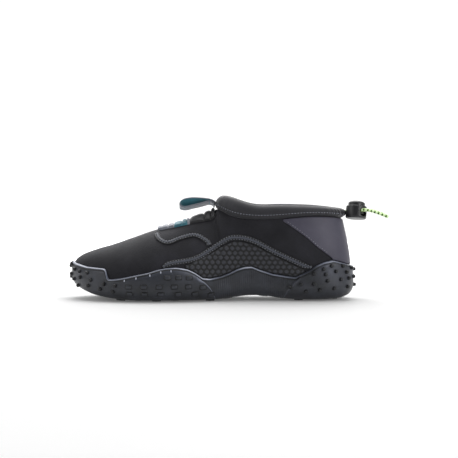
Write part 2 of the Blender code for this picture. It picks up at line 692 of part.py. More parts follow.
row = 0
x = HEEL_X - 0.06 * LENGTH
while x > HEEL_X - 0.97 * LENGTH:
    for step in range(-4, 5):
        y = (step + (0.5 if row % 2 else 0.0)) * PEG_PITCH_Y
        level = base_level(x)
        near = [inside_base(x + dx, y, 0.0035) for dx in (-0.004, 0.0, 0.004)]
        if all(near):
            flat = level < 0.0018
            tip = 0.0 if flat else level - PEG_HEIGHT
            slope = 0.0 if flat else (base_level(x + 0.002) - base_level(x - 0.002)) / 0.004
            normal = Vector((slope, 0.0, -1.0)).normalized()
            studs.append(peg((x, y, level), normal, (1, 0, 0), PEG_DIAMETER / 2, PEG_DIAMETER / 2,
                            0.0008, level - tip, 6, 0.88))
    x -= PEG_PITCH_X
    row += 1
join_with(outsole, gather("studs", studs), "UNION")

# Insole: foam sheet lying on the outsole's floor inside the upper.
under, over = [], []
for k in range(len(ring)):
    station, side = ring[k]
    middle = centre_point(station)
    foot = skin[k][0]
    mid = (foot[:2] + middle) / 2
    reach = foot[:2] + (middle - foot[:2]) / np.linalg.norm(middle - foot[:2]) * INSOLE_INSET
    share = np.linalg.norm(reach - mid) / np.linalg.norm(foot[:2] - mid)
    levels = [base_level(p[0]) + base_thickness(p[0]) for p in (middle, mid, foot[:2])]
    edge_level = levels[1] + (levels[2] - levels[1]) * share
    spots = [(*middle, levels[0]), (*mid, levels[1]), (*reach, edge_level)]
    under.append([np.array(p) + (0, 0, INSOLE_GAP) for p in spots])
    over.append([np.array(p) + (0, 0, INSOLE) for p in spots])
under, over = np.array(under), np.array(over)
loops = np.concatenate((under, over[:, ::-1]), axis=1)
insole = solid("insole", loops.reshape(-1, 3), grid_faces(len(ring), loops.shape[1]), foam)


def skin_column(station, side):
    """Rows of the faceted upper at any station, with their outward directions."""
    below = max(i for i, s in enumerate(STATIONS) if s <= station)
    above = min(below + 1, len(STATIONS) - 1)
    gap = STATIONS[above] - STATIONS[below]
    share = (station - STATIONS[below]) / gap if gap else 0.0
    index = [i if side < 0 else (len(ring) - i) % len(ring) for i in (below, above)]
    points = skin[index[0]] * (1 - share) + skin[index[1]] * share
    normals = out[index[0]] * (1 - share) + out[index[1]] * share
    return points, normals


def crossing(points, line, drop, start):
    """Row share where a column climbs past a side-view line lowered by a distance."""
    for i in range(241):
        at = start + (len(points) - 1 - start) * i / 240
        x, _, z = pick(points, at)
        if z >= height_of(line, (HEEL_X - x) / LENGTH) - drop:
            return at
    return len(points) - 1.0


def panel(name, spots, low_high, material):
    """Thin sheet on the upper between two row shares per column."""
    under, over = [], []
    for station, side in spots:
        points, normals = skin_column(station, side)
        along = (HEEL_X - widest(station, -1)[0]) / LENGTH
        low, high = low_high(points, along)
        shares = [low] + [min(max(float(j), low), high) for j in range(3, rows)] + [high]
        under.append([pick(points, v) + pick(normals, v) * PANEL_GAP for v in shares])
        over.append([pick(points, v) + pick(normals, v) * (PANEL_GAP + PANEL) for v in shares])
    return slab(name, np.array(under), np.array(over), material)


def above_sole(points, along):
    """Row share just above the outsole's top edge."""
    return lowest_at(points, height_of(SIDE_TOP, along) + 2 * GAP)


# Heel counter: one film around the heel, from its slanted front edge to the cuff.
def counter_rows(points, along):
    low = max(crossing(points, COUNTER_EDGE, 0.0, 2.0), above_sole(points, along))
    return min(low, rows - 1.25), rows - 1.08


counter = [s for s in STATIONS if s < 5.8] + [5.85]
spots = [(s, 1) for s in counter[:0:-1]] + [(s, -1) for s in counter]
panel("heel_counter", spots, counter_rows, counter_film)


# Side panels: embossed film under the side binding.
def side_rows(points, along):
    low = above_sole(points, along)
    drop = SIDE_BINDING_WIDTH * 0.62 + 2 * GAP
    return low, max(crossing(points, SIDE_BINDING, drop, 2.0), low + 0.05)


side_spots = [4.85] + [s for s in STATIONS if 4.9 < s < 15.3] + [15.4]
panel("side_panel_outer", [(s, -1) for s in side_spots], side_rows, mesh_film)
panel("side_panel_inner", [(s, 1) for s in side_spots[::-1]], side_rows, mesh_film)


def smooth_normal(point, side_step=0.003):
    """Outward direction of the upper averaged around a point."""
    total = np.zeros(3)
    for dx in (-side_step, 0.0, side_step):
        for dz in (-side_step, 0.0, side_step):
            total += near_skin(point + np.array((dx, 0, dz)))[1]
    return total / np.linalg.norm(total)


def tape_on_skin(name, line, side, width, count, material):
    """Stitched tape along a side-view line: flat, three points across."""
    line = np.array(line)
    lengths = np.append(0, np.cumsum(np.linalg.norm(np.diff(line, axis=0), axis=1)))
    ends = np.linspace(0, lengths[-1], count)
    along, up = spline(lengths, line[:, 0], ends), spline(lengths, line[:, 1], ends)
    middle = np.array([on_skin(a, u, side) for a, u in zip(along, up)])
    tangents = np.gradient(middle, axis=0)
    under, over = [], []
    for place, tangent in zip(middle, tangents):
        across = np.cross(smooth_normal(place), tangent)
        across /= np.linalg.norm(across)
        spots = [near_skin(place + across * width * s)[0] for s in (-0.5, 0.0, 0.5)]
        normals = [smooth_normal(p) for p in spots]
        under.append([p + n * (PANEL_GAP + GAP / 2) for p, n in zip(spots, normals)])
        over.append([p + n * (PANEL_GAP + BINDING_HEIGHT) for p, n in zip(spots, normals)])
    return slab(name, np.array(under), np.array(over), material)


# Bindings: tapes over the panel edges, the same on both sides of the foot.
for side, word in ((-1, "outer"), (1, "inner")):
    tape_on_skin("side_binding_" + word, SIDE_BINDING, side, SIDE_BINDING_WIDTH, 20, tape)
    tape_on_skin("vamp_binding_" + word, VAMP_BINDING, side, VAMP_BINDING_WIDTH, 12, tape)

# Instep strip: soft strip with cross ribs along the ridge.
levels = []
for start, end in STRIP_RIBS:
    levels += [(start, 0.0), (start - 0.0022, 1.0), (end + 0.0022, 1.0), (end, 0.0)]
under, over = [], []
for along, level in levels:
    crest = spline([r[0] for r in RIDGE], [r[1] for r in RIDGE], along)[0] * WIDTH
    low_row, high_row = [], []
    for i in range(-2, 3):
        start = Vector((HEEL_X - along * LENGTH, crest + STRIP_WIDTH * i / 4, 0.2))
        place, _, _, _ = skin_tree.ray_cast(start, Vector((0, 0, -1)))
        place = np.array(place)
        normal = smooth_normal(place)
        low_row.append(place + normal * (PANEL_GAP + GAP / 2))
        high_row.append(place + normal * (PANEL_GAP + STRIP_BASE + level * STRIP_RIB))
    under.append(low_row)
    over.append(high_row)
slab("instep_strip", np.array(under), np.array(over), strip_rubber)

# Collar cuff: cloth folded over the collar edge, bulging into a tunnel for the drawcord.
collar_spots = [(s, -1) for s in STATIONS if s <= FRONT]
collar_spots += [(s, 1) for s in STATIONS[::-1] if 0 < s < FRONT]
edges = np.array([collar_point(s, side, 0) for s, side in collar_spots])
seams = np.array([collar_point(s, side, 3) for s, side in collar_spots])
around = np.roll(edges, -1, axis=0) - np.roll(edges, 1, axis=0)
sections = []
for top, seam, tangent in zip(edges, seams, around):
    rise = np.linalg.norm(top - seam)
    lift = (top - seam) / rise
    outward = np.cross(lift, tangent)
    outward /= np.linalg.norm(outward)
    inside = -WALL - 1.6 * GAP
    profile = [
        (0.0006, GAP + CUFF_FABRIC), (0.21 * rise, 0.0033), (0.50 * rise, 0.0042),
        (0.79 * rise, 0.0036), (rise + 0.0008, 0.0012), (rise + 0.0018, -WALL / 2),
        (rise + 0.0008, inside - 0.0010), (rise - 0.0035, inside - 0.0016),
        (rise - CUFF_INSIDE, inside - CUFF_FABRIC), (rise - CUFF_INSIDE, inside),
        (rise - 0.0035, inside), (rise + 1.5 * GAP, inside), (rise + 1.5 * GAP, 1.5 * GAP),
        (0.76 * rise, 0.0022), (0.50 * rise, 0.0028), (0.24 * rise, 0.0020),
        (0.0006, 1.2 * GAP),
    ]
    sections.append([seam + lift * a + outward * b for a, b in profile])
sections = np.array(sections)
closed = np.concatenate((sections, sections[:, :1]), axis=1)
solid("collar_cuff", closed.reshape(-1, 3), grid_faces(len(sections), closed.shape[1]), knit)

# Pull loop: one ribbon folded into a loop, its two ends side by side at the cuff.
line = np.array(LOOP_LINE)
lengths = np.append(0, np.cumsum(np.linalg.norm(np.diff(line, axis=0), axis=1)))
ends = np.linspace(0, lengths[-1], 30)
centre = np.array([(HEEL_X - a * LENGTH, 0.0, u * HEIGHT) for a, u in zip(
    spline(lengths, line[:, 0], ends), spline(lengths, line[:, 1], ends))])
tilt = math.radians(LOOP_TILT)
broad = np.array((0.0, math.cos(tilt), -math.sin(tilt)))
under, over = [], []
for place, tangent in zip(centre, np.gradient(centre, axis=0)):
    normal = np.cross(broad, tangent)
    normal /= np.linalg.norm(normal)
    for rows_out, sign in ((under, -1), (over, 1)):
        rows_out.append([place + broad * LOOP_WIDTH * s + normal * LOOP_THICKNESS * sign / 2
                         for s in (-0.5, 0.5)])
slab("pull_loop", np.array(under), np.array(over), webbing)

# Cord lock: barrel with a button that slides in it; both are built upright, then turned.
lock_turn = (
    Matrix.Translation((LOCK_X, LOCK_Y, LOCK_Z))
    @ Matrix.Rotation(math.radians(LOCK_ROLL), 4, "Y")
    @ Matrix.Rotation(math.radians(LOCK_LEAN), 4, "X")
    @ Matrix.Rotation(math.radians(LOCK_YAW), 4, "Z")
)


def turned(name, profile, material, group=shoe, sides=24):
    """Body of revolution about the lock's axis from (radius, level) pairs."""
    points, faces = [], []
    for radius, level in profile:
        for i in range(sides):
            angle = 2 * math.pi * (i + 0.5) / sides
            points.append(lock_turn @ Vector((math.cos(angle) * radius,
                                              math.sin(angle) * radius, level)))
    for j in range(len(profile) - 1):
        for i in range(sides):
            n = (i + 1) % sides
            faces.append((j * sides + i, j * sides + n, (j + 1) * sides + n,
                          (j + 1) * sides + i))
    faces.append(tuple(range(sides))[::-1])
    faces.append(tuple(range((len(profile) - 1) * sides, len(profile) * sides)))
    return solid(name, points, faces, material, group)


half = BARREL_HEIGHT / 2
barrel = turned("lock_barrel", [
    (BARREL_RADIUS - 0.0016, -half), (BARREL_RADIUS, -half + 0.0016),
    (BARREL_RADIUS, half - 0.0008), (BARREL_RADIUS - 0.0008, half)], plastic)
bore = turned("barrel_bore", [(BUTTON_BORE, -half + BARREL_FLOOR), (BUTTON_BORE, half + 0.004)],
              None, cutters)
join_with(barrel, bore, "DIFFERENCE")
points = []
for x in (-0.02, 0.02):
    for i in range(16):
        angle = 2 * math.pi * (i + 0.5) / 16
        points.append(lock_turn @ Vector((x, math.cos(angle) * HOLE_WIDTH / 2,
                                          HOLE_CENTRE + math.sin(angle) * HOLE_HEIGHT / 2)))
faces = [(i, (i + 1) % 16, 16 + (i + 1) % 16, 16 + i) for i in range(16)]
faces += [tuple(range(16))[::-1], tuple(range(16, 32))]
join_with(barrel, solid("cord_hole", points, faces, None, cutters), "DIFFERENCE")

button = turned("lock_button", [
    (BUTTON_RADIUS, BUTTON_BOTTOM), (BUTTON_RADIUS, BUTTON_TOP - 0.0036),
    (BUTTON_RADIUS - 0.0009, BUTTON_TOP - 0.0018), (BUTTON_RADIUS - 0.0036, BUTTON_TOP - 0.0005),
    (BUTTON_RADIUS - 0.0066, BUTTON_TOP)], plastic)
points = [lock_turn @ Vector((x, y, z)) for x in (-0.02, 0.02)
          for y in (-WINDOW_WIDTH / 2, WINDOW_WIDTH / 2) for z in (0.0, WINDOW_TOP)]
faces = [(0, 1, 3, 2), (4, 6, 7, 5), (0, 4, 5, 1), (2, 3, 7, 6), (0, 2, 6, 4), (1, 5, 7, 3)]
join_with(button, solid("button_window", points, faces, None, cutters), "DIFFERENCE")


# Drawcord: two strands from the casing through the lock to their bare ends.
def strand(name, offset, start, free):
    """Round cord through the lock at a sideways offset, then along free points."""
    inner = [lock_turn @ Vector((x, offset, CORD_LEVEL)) for x in np.linspace(start, 0.0125, 7)]
    coarse = np.array([tuple(p) for p in inner] + free)
    lengths = np.append(0, np.cumsum(np.linalg.norm(np.diff(coarse, axis=0), axis=1)))
    ends = np.linspace(0, lengths[-1], 12)
    path = [spline(lengths, coarse[:, i], ends) for i in range(3)]
    curve = bpy.data.curves.new(name, "CURVE")
    curve.dimensions = "3D"
    curve.bevel_depth = CORD_DIAMETER / 2
    curve.bevel_resolution = 2
    curve.use_fill_caps = True
    curve.materials.append(cord_fibre)
    run = curve.splines.new("POLY")
    run.points.add(len(ends) - 1)
    for i in range(len(ends)):
        run.points[i].co = (path[0][i], path[1][i], path[2][i], 1.0)
    made = bpy.data.objects.new(name, curve)
    shoe.objects.link(made)
    return made


free_outer = [(0.1570, -0.0185, 0.0884), (0.1630, -0.0225, 0.0866), (0.1690, -0.0250, 0.0843),
              (0.1740, -0.0265, 0.0823)]
free_inner = [(0.1590, -0.0150, 0.0884), (0.1650, -0.0180, 0.0866), (0.1700, -0.0195, 0.0846),
              (0.1735, -0.0205, 0.0829)]
strand("drawcord_outer", -0.00165, -0.0135, free_outer)
strand("drawcord_inner", 0.00165, -0.0175, free_inner)

# The frame's origin lies under the middle of the shoe.
for item in list(shoe.objects) + list(cutters.objects):
    item.data.transform(Matrix.Translation((-CENTRE_X, -CENTRE_Y, 0.0)))
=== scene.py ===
import math

import bpy
import numpy as np
from mathutils import Matrix, Vector, noise
from mathutils.bvhtree import BVHTree


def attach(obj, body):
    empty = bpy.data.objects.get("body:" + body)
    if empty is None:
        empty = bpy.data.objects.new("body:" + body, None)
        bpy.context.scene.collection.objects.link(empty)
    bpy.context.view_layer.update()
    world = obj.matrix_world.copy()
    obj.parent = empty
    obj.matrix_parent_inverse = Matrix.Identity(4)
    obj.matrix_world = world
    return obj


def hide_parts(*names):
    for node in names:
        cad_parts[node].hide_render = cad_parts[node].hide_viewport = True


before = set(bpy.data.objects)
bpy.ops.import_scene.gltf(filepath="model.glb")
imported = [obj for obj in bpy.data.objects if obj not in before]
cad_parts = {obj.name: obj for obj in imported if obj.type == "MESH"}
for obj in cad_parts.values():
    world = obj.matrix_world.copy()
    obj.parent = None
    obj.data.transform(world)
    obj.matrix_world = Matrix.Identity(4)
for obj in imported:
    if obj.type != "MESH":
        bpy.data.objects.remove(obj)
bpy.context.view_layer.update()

# Studio. A white sweep in a light tent: soft light from above and from both ends, little from the
# camera's side, and a long lens that looks at the shoe's outer side from just above the floor.
VIEW_DISTANCE = 1.5
VIEW_WIDTH = 0.458
VIEW_RISE = math.radians(2.4)
AIM = Vector((0.0166, 0.0, 0.0696))
SWEEP_SIZE = 6.0
SWEEP_BEND = 1.2  # how far behind the shoe the sweep starts to rise, on a radius of 1 m


def linear(hex_colour):
    """Linear colour with alpha from an sRGB hex value."""
    parts = [int(hex_colour[i:i + 2], 16) / 255 for i in (0, 2, 4)]
    return (*[c / 12.92 if c < 0.04045 else ((c + 0.055) / 1.055) ** 2.4 for c in parts], 1.0)


def add(tree, kind, inputs=None, **settings):
    """Node with its settings; inputs are values, or sockets to link from."""
    made = tree.nodes.new(kind)
    for name, value in settings.items():
        setattr(made, name, value)
    for name, value in (inputs or {}).items():
        if isinstance(value, bpy.types.NodeSocket):
            tree.links.new(value, made.inputs[name])
        else:
            made.inputs[name].default_value = value
    return made


def material(name, roughness, specular=0.5, sheen=0.0):
    """New principled material of that name, its tree and its shader."""
    made = bpy.data.materials.new(name)
    made.use_nodes = True
    shader = made.node_tree.nodes["Principled BSDF"]
    shader.inputs["Roughness"].default_value = roughness
    shader.inputs["Specular IOR Level"].default_value = specular
    shader.inputs["Sheen Weight"].default_value = sheen
    shader.inputs["Sheen Roughness"].default_value = 0.45
    return made, made.node_tree, shader


def painted(tree, shader, factor, stops):
    """Base colour from a ramp over a factor: stops are (place, hex colour)."""
    ramp = add(tree, "ShaderNodeValToRGB", {"Fac": factor})
    while len(ramp.color_ramp.elements) < len(stops):
        ramp.color_ramp.elements.new(0.5)
    for element, (place, colour) in zip(ramp.color_ramp.elements, stops):
        element.position, element.color = place, linear(colour)
    tree.links.new(ramp.outputs["Color"], shader.inputs["Base Color"])


def mottle(tree, per_metre, detail=3.0):
    """Unevenness of a surface, in patches per metre of the object's own coordinates."""
    spot = add(tree, "ShaderNodeTexCoord").outputs["Object"]
    return add(tree, "ShaderNodeTexNoise", {
        "Vector": spot, "Scale": per_metre, "Detail": detail, "Roughness": 0.55}).outputs["Fac"]


def only(piece):
    """Selects this piece alone and makes it active."""
    bpy.ops.object.select_all(action="DESELECT")
    piece.select_set(True)
    bpy.context.view_layer.objects.active = piece
    return piece


bpy.ops.object.select_all(action="DESELECT")
bpy.ops.object.camera_add(
    location=AIM + VIEW_DISTANCE * Vector((0.0, -math.cos(VIEW_RISE), math.sin(VIEW_RISE))),
    rotation=(math.radians(90) - VIEW_RISE, 0.0, 0.0))
camera = bpy.context.object
camera.data.lens = camera.data.sensor_width * VIEW_DISTANCE / VIEW_WIDTH
bpy.context.scene.camera = camera
bpy.context.scene.view_settings.view_transform = "Standard"

bpy.ops.mesh.primitive_grid_add(x_subdivisions=4, y_subdivisions=60, size=SWEEP_SIZE)
sweep = bpy.context.object
sweep.name = sweep.data.name = "studio_sweep"
for point in sweep.data.vertices:
    past = point.co.y - SWEEP_BEND
    if past > 0:
        turn = min(past, math.pi / 2)
        point.co.y = SWEEP_BEND + math.sin(turn)
        point.co.z = 1.0 - math.cos(turn) + max(past - math.pi / 2, 0.0)
# Milky acrylic sheet: matt, with a faint even glow that keeps shadows pale; its colour is painted
# greyer where the shoe stands, a painted shadow that deepens the cast one.
white, tree, shader = material("milky_acrylic_sweep", 0.9, 0.2)
away = add(tree, "ShaderNodeVectorMath", {
    "Vector": add(tree, "ShaderNodeTexCoord").outputs["Object"]}, operation="LENGTH")
# Painted shadow: grey at the middle where the shoe stands, white further out.
painted(tree, shader, away.outputs["Value"], [(0.05, "cacaca"), (0.80, "fbfbfb")])
shader.inputs["Emission Color"].default_value = linear("ffffff")
shader.inputs["Emission Strength"].default_value = 0.10
sweep.data.materials.append(white)
only(sweep)
bpy.ops.object.shade_smooth()

SOFT_BOXES = [  # place, aim, size, power
    ((0.00, 0.40, 1.00), (0.0, 0.0, 0.0), 1.0, 12.0),
    ((0.00, 1.05, 0.40), (0.0, -0.1, 0.0), 1.0, 8.0),
    ((-1.05, -0.45, 0.50), (0.0, 0.0, 0.05), 0.6, 2.0),
    ((0.95, -0.80, 0.50), (0.10, 0.0, 0.05), 0.6, 5.0),
    ((0.00, 1.00, 1.60), (0.0, 2.3, 0.5), 1.2, 12.0),
]
for place, aim, size, power in SOFT_BOXES:
    turn = (Vector(aim) - Vector(place)).to_track_quat("-Z", "Y")
    bpy.ops.object.light_add(type="AREA", location=place, rotation=turn.to_euler())
    bpy.context.object.visible_camera = False
    lamp = bpy.context.object.data
    lamp.size, lamp.energy = size, power

tent = bpy.data.worlds.new("light_tent")
bpy.context.scene.world = tent
tent.use_nodes = True
tent.node_tree.nodes["Background"].inputs["Color"].default_value = linear("ffffff")
tent.node_tree.nodes["Background"].inputs["Strength"].default_value = 0.45

bpy.ops.mesh.primitive_plane_add(size=1.9, location=(0.0, -1.8, 0.70),
                                 rotation=(math.radians(90), 0.0, 0.0))
flag = bpy.context.object
flag.name = flag.data.name = "studio_black_flag"
# Black felt: it takes light away, so that the shoe's near side keeps its depth.
felt, tree, shader = material("black_felt", 0.95, 0.1)
painted(tree, shader, mottle(tree, 40.0), [(0.3, "141414"), (0.7, "181818")])
flag.data.materials.append(felt)
flag.visible_camera = False

# Cord lock. Barrel and button injection-moulded in dark nylon; the button slides in the barrel on a
# hidden spring and grips both ends of the cord in the cross hole.
CENTRE = Vector((0.000434, -0.000935, 0.0))
LOCK_PLACE = Vector((0.1437, -0.0060, 0.0863)) - CENTRE
LOCK_ROLL, LOCK_LEAN, LOCK_YAW = math.radians(4.0), math.radians(-10.0), math.radians(-48.0)
lock_turn = (Matrix.Translation(LOCK_PLACE) @ Matrix.Rotation(LOCK_ROLL, 4, "Y")
             @ Matrix.Rotation(LOCK_LEAN, 4, "X") @ Matrix.Rotation(LOCK_YAW, 4, "Z"))
BARREL_RADIUS = 0.0104
BARREL_HEIGHT = 0.0125
BARREL_FLOOR = 0.0013
BUTTON_RADIUS = 0.0084
BUTTON_BORE = 0.0087
BUTTON_TOP = 0.0116
BUTTON_BOTTOM = -0.0020
WINDOW_TOP = 0.0062
WINDOW_WIDTH = 0.0100
HOLE_CENTRE = -0.0003
HOLE_HEIGHT = 0.0080
HOLE_WIDTH = 0.0100
BARREL_FOOT_ROUND, BARREL_LIP_ROUND = 0.0016, 0.0009
BUTTON_ROUND, BUTTON_CROWN = 0.0066, 0.0030
EDGE_ROUND = 0.0003
THROUGH = 0.04  # length of a cutter that passes right through


def bumped(tree, shader, height, distance, strength=1.0, under=None):
    """Bump of that height in metres on the shader, on top of another bump."""
    inputs = {"Height": height, "Distance": distance, "Strength": strength}
    if under is not None:
        inputs["Normal"] = under
    bump = add(tree, "ShaderNodeBump", inputs)
    tree.links.new(bump.outputs["Normal"], shader.inputs["Normal"])
    return bump.outputs["Normal"]


def fresh(primitive, scale=(1, 1, 1), **settings):
    """New primitive of that scale, with nothing else selected and its place applied."""
    bpy.ops.object.select_all(action="DESELECT")
    primitive(**settings)
    made = bpy.context.object
    made.scale = scale
    bpy.ops.object.transform_apply()
    return made


def tidied(piece, merge=0.00002):
    """Merges doubled points and turns the faces outwards."""
    only(piece)
    bpy.ops.object.mode_set(mode="EDIT")
    bpy.ops.mesh.select_all(action="SELECT")
    bpy.ops.mesh.remove_doubles(threshold=merge)
    bpy.ops.mesh.dissolve_degenerate(threshold=0.000001)
    bpy.ops.mesh.normals_make_consistent(inside=False)
    bpy.ops.object.mode_set(mode="OBJECT")
    return piece


def finished(piece, paint, body="shoe", replaces=(), angle=None):
    """Shades a piece, gives it its material and lets it ride on its body."""
    only(piece)
    if angle is None:
        bpy.ops.object.shade_smooth()
    else:
        bpy.ops.object.shade_smooth_by_angle(angle=math.radians(angle))
    if paint is not None:
        piece.data.materials.clear()
        piece.data.materials.append(paint)
    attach(piece, body)
    if replaces:
        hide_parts(*replaces)
    return piece


# Injection-moulded nylon: near black, with a soft shine and the mould's faint grain.
nylon, tree, shader = material("moulded_nylon", 0.38, 0.5)
painted(tree, shader, mottle(tree, 120.0, 4.0), [(0.3, "1c1c1e"), (0.7, "252528")])
bumped(tree, shader, mottle(tree, 2200.0, 2.0), 0.00005, 0.5)


def lock_body(name, profile):
    """Turned body about the upright lock axis: a spun profile of (radius, level)."""
    radius, level = profile[0]
    made = fresh(bpy.ops.mesh.primitive_circle_add, vertices=64, radius=radius, fill_type="NGON",
                 location=(0, 0, level))
    bpy.ops.object.mode_set(mode="EDIT")
    bpy.ops.mesh.select_all(action="SELECT")
    for next_radius, next_level in profile[1:]:
        bpy.ops.mesh.extrude_region_move(
            TRANSFORM_OT_translate={"value": (0, 0, next_level - level)})
        share = next_radius / radius
        bpy.ops.transform.resize(value=(share, share, 1.0), center_override=(0, 0, next_level))
        radius, level = next_radius, next_level
    bpy.ops.object.mode_set(mode="OBJECT")
    made.name = made.data.name = name
    return tidied(made, 0.000001)


def cut(piece, cutter):
    """Takes a cutter out of a piece."""
    step = piece.modifiers.new("cut", "BOOLEAN")
    step.operation, step.solver, step.object = "DIFFERENCE", "EXACT", cutter
    only(piece)
    bpy.ops.object.modifier_apply(modifier="cut")
    bpy.data.objects.remove(cutter)


half = BARREL_HEIGHT / 2
foot, lip = BARREL_FOOT_ROUND, BARREL_LIP_ROUND
quarter_turn = np.linspace(0, math.pi / 2, 5)
drum = [(BARREL_RADIUS - foot + foot * math.sin(a), -half + foot - foot * math.cos(a))
        for a in quarter_turn]
drum += [(BARREL_RADIUS - lip + lip * math.cos(a), half - lip + lip * math.sin(a))
         for a in quarter_turn]
barrel = lock_body("cord_lock_barrel", drum)
cut(barrel, lock_body("bore", [(BUTTON_BORE, -half + BARREL_FLOOR), (BUTTON_BORE, half + 0.004)]))
cut(barrel, fresh(bpy.ops.mesh.primitive_cylinder_add, (HOLE_HEIGHT, HOLE_WIDTH, 1), vertices=48,
                  radius=0.5, depth=THROUGH, rotation=(0, math.radians(90), 0),
                  location=(0, 0, HOLE_CENTRE)))
soft = barrel.modifiers.new("soft", "BEVEL")
soft.width, soft.segments = EDGE_ROUND, 2
soft.limit_method, soft.angle_limit = "ANGLE", math.radians(50)
only(barrel)
bpy.ops.object.modifier_apply(modifier="soft")
barrel.data.transform(lock_turn)
finished(barrel, nylon, replaces=("lock_barrel",), angle=40)

shoulder = BUTTON_TOP - BUTTON_CROWN
dome = [(BUTTON_RADIUS, BUTTON_BOTTOM), (BUTTON_RADIUS, shoulder)]
dome += [(BUTTON_RADIUS - BUTTON_ROUND + BUTTON_ROUND * math.cos(a),
          shoulder + BUTTON_CROWN * math.sin(a)) for a in np.linspace(0.15, math.pi / 2, 8)]
button = lock_body("cord_lock_button", dome)
cut(button, fresh(bpy.ops.mesh.primitive_cube_add, (THROUGH, WINDOW_WIDTH, WINDOW_TOP), size=1,
                  location=(0, 0, WINDOW_TOP / 2)))
button.data.transform(lock_turn)
finished(button, nylon, body="button", replaces=("lock_button",), angle=35)

# Drawcord. Two free ends of one round braided cord, 3 mm thick: polyester yarns in lime with dark
# green flecks. They leave the cuff's casing at the centre back, pass through the lock and end bare.
CORD_DIAMETER = 0.0030
CORD_LEVEL = 0.0018
CORD_LEAVES = 0.0125  # where the cord leaves the lock, in the lock's own frame
BRAID_PITCH = 4.0
BRAID_RELIEF = 0.00007
# Name, offset across the lock's hole, start in the lock's frame, and the free end's points.
STRANDS = [
    ("outer", -0.00165, -0.0135, [
        (0.1570, -0.0185, 0.0884), (0.1630, -0.0225, 0.0866), (0.1690, -0.0250, 0.0843),
        (0.1740, -0.0265, 0.0823)]),
    ("inner", 0.00165, -0.0175, [
        (0.1590, -0.0150, 0.0884), (0.1650, -0.0180, 0.0866), (0.1700, -0.0195, 0.0846),
        (0.1735, -0.0205, 0.0829)]),
]


def unit(vectors):
    """Vectors of length one."""
    return vectors / np.maximum(np.linalg.norm(vectors, axis=-1), 1e-12)[..., None]


def spline(knots, values, at):
    """Natural cubic spline through the knots."""
    knots, values = np.array(knots, float), np.array(values, float)
    at = np.clip(np.array(at, float), knots[0], knots[-1])
    step = np.diff(knots)
    slope = np.diff(values) / step
    count = len(knots)
    matrix, right = np.eye(count), np.zeros(count)
    for i in range(1, count - 1):
        matrix[i, i - 1:i + 2] = step[i - 1], 2 * (step[i - 1] + step[i]), step[i]
        right[i] = 6 * (slope[i] - slope[i - 1])
    bend = np.linalg.solve(matrix, right)
    i = np.clip(np.searchsorted(knots, at) - 1, 0, count - 2)
    a, b, h = knots[i + 1] - at, at - knots[i], step[i]
    return ((bend[i] * a ** 3 + bend[i + 1] * b ** 3) / (6 * h)
            + (values[i] / h - bend[i] * h / 6) * a + (values[i + 1] / h - bend[i + 1] * h / 6) * b)


def run_lengths(line):
    """Distance along a line of points, at each of them."""
    return np.append(0, np.cumsum(np.linalg.norm(np.diff(line, axis=0), axis=1)))


def smooth_line(points, count):
    """That many evenly spaced points of the spline through a short list."""
    points = np.array(points, float)
    for _ in range(2):
        lengths = run_lengths(points)
        ends = np.linspace(0, lengths[-1], count)
        points = np.stack([spline(lengths, c, ends) for c in points.T], axis=1)
    return points


def laid(name, places, closed=False, long=1.0, wide=1.0):
    """Grid primitive laid at places[column, row]; its UV map is in millimetres."""
    if closed:
        places = np.concatenate((places, places[:1]))
    columns, rows = places.shape[:2]
    bpy.ops.object.select_all(action="DESELECT")
    bpy.ops.mesh.primitive_grid_add(x_subdivisions=columns - 1, y_subdivisions=rows - 1, size=2)
    made = bpy.context.object
    made.name = made.data.name = name
    made.data.vertices.foreach_set("co", places.transpose(1, 0, 2).astype(np.float32).ravel())
    uv = np.empty(len(made.data.loops) * 2, np.float32)
    made.data.uv_layers[0].data.foreach_get("uv", uv)
    uv = uv.reshape(-1, 2) * (long * 1000, wide * 1000)
    made.data.uv_layers[0].data.foreach_set("uv", uv.astype(np.float32).ravel())
    made.data.update()
    return made


# Braided polyester: lime yarns with a silky sheen, crossed by dark green flecks.
braid, tree, shader = material("braided_polyester_cord", 0.55, 0.35, 0.3)
map_uv = add(tree, "ShaderNodeUVMap", uv_map="UVMap").outputs["UV"]
yarns = []
for lean in (1, -1):
    turned = add(tree, "ShaderNodeMapping", {
        "Vector": map_uv,
        "Rotation": (0.0, 0.0, lean * math.atan2(BRAID_PITCH, math.pi * CORD_DIAMETER * 1000))})
    yarns.append(add(tree, "ShaderNodeTexWave", {
        "Vector": turned.outputs["Vector"], "Scale": 0.0855, "Distortion": 0.4},
        wave_type="BANDS").outputs["Fac"])
crossed = add(tree, "ShaderNodeMath", {0: yarns[0], 1: yarns[1]},
              operation="MULTIPLY").outputs[0]
painted(tree, shader, crossed, [
    (0.0, "e6fbd0"), (0.25, "c9f58a"), (0.42, "a9dc58"), (0.55, "3c6130"), (1.0, "1f3a1c")])
bumped(tree, shader, crossed, 0.0003)

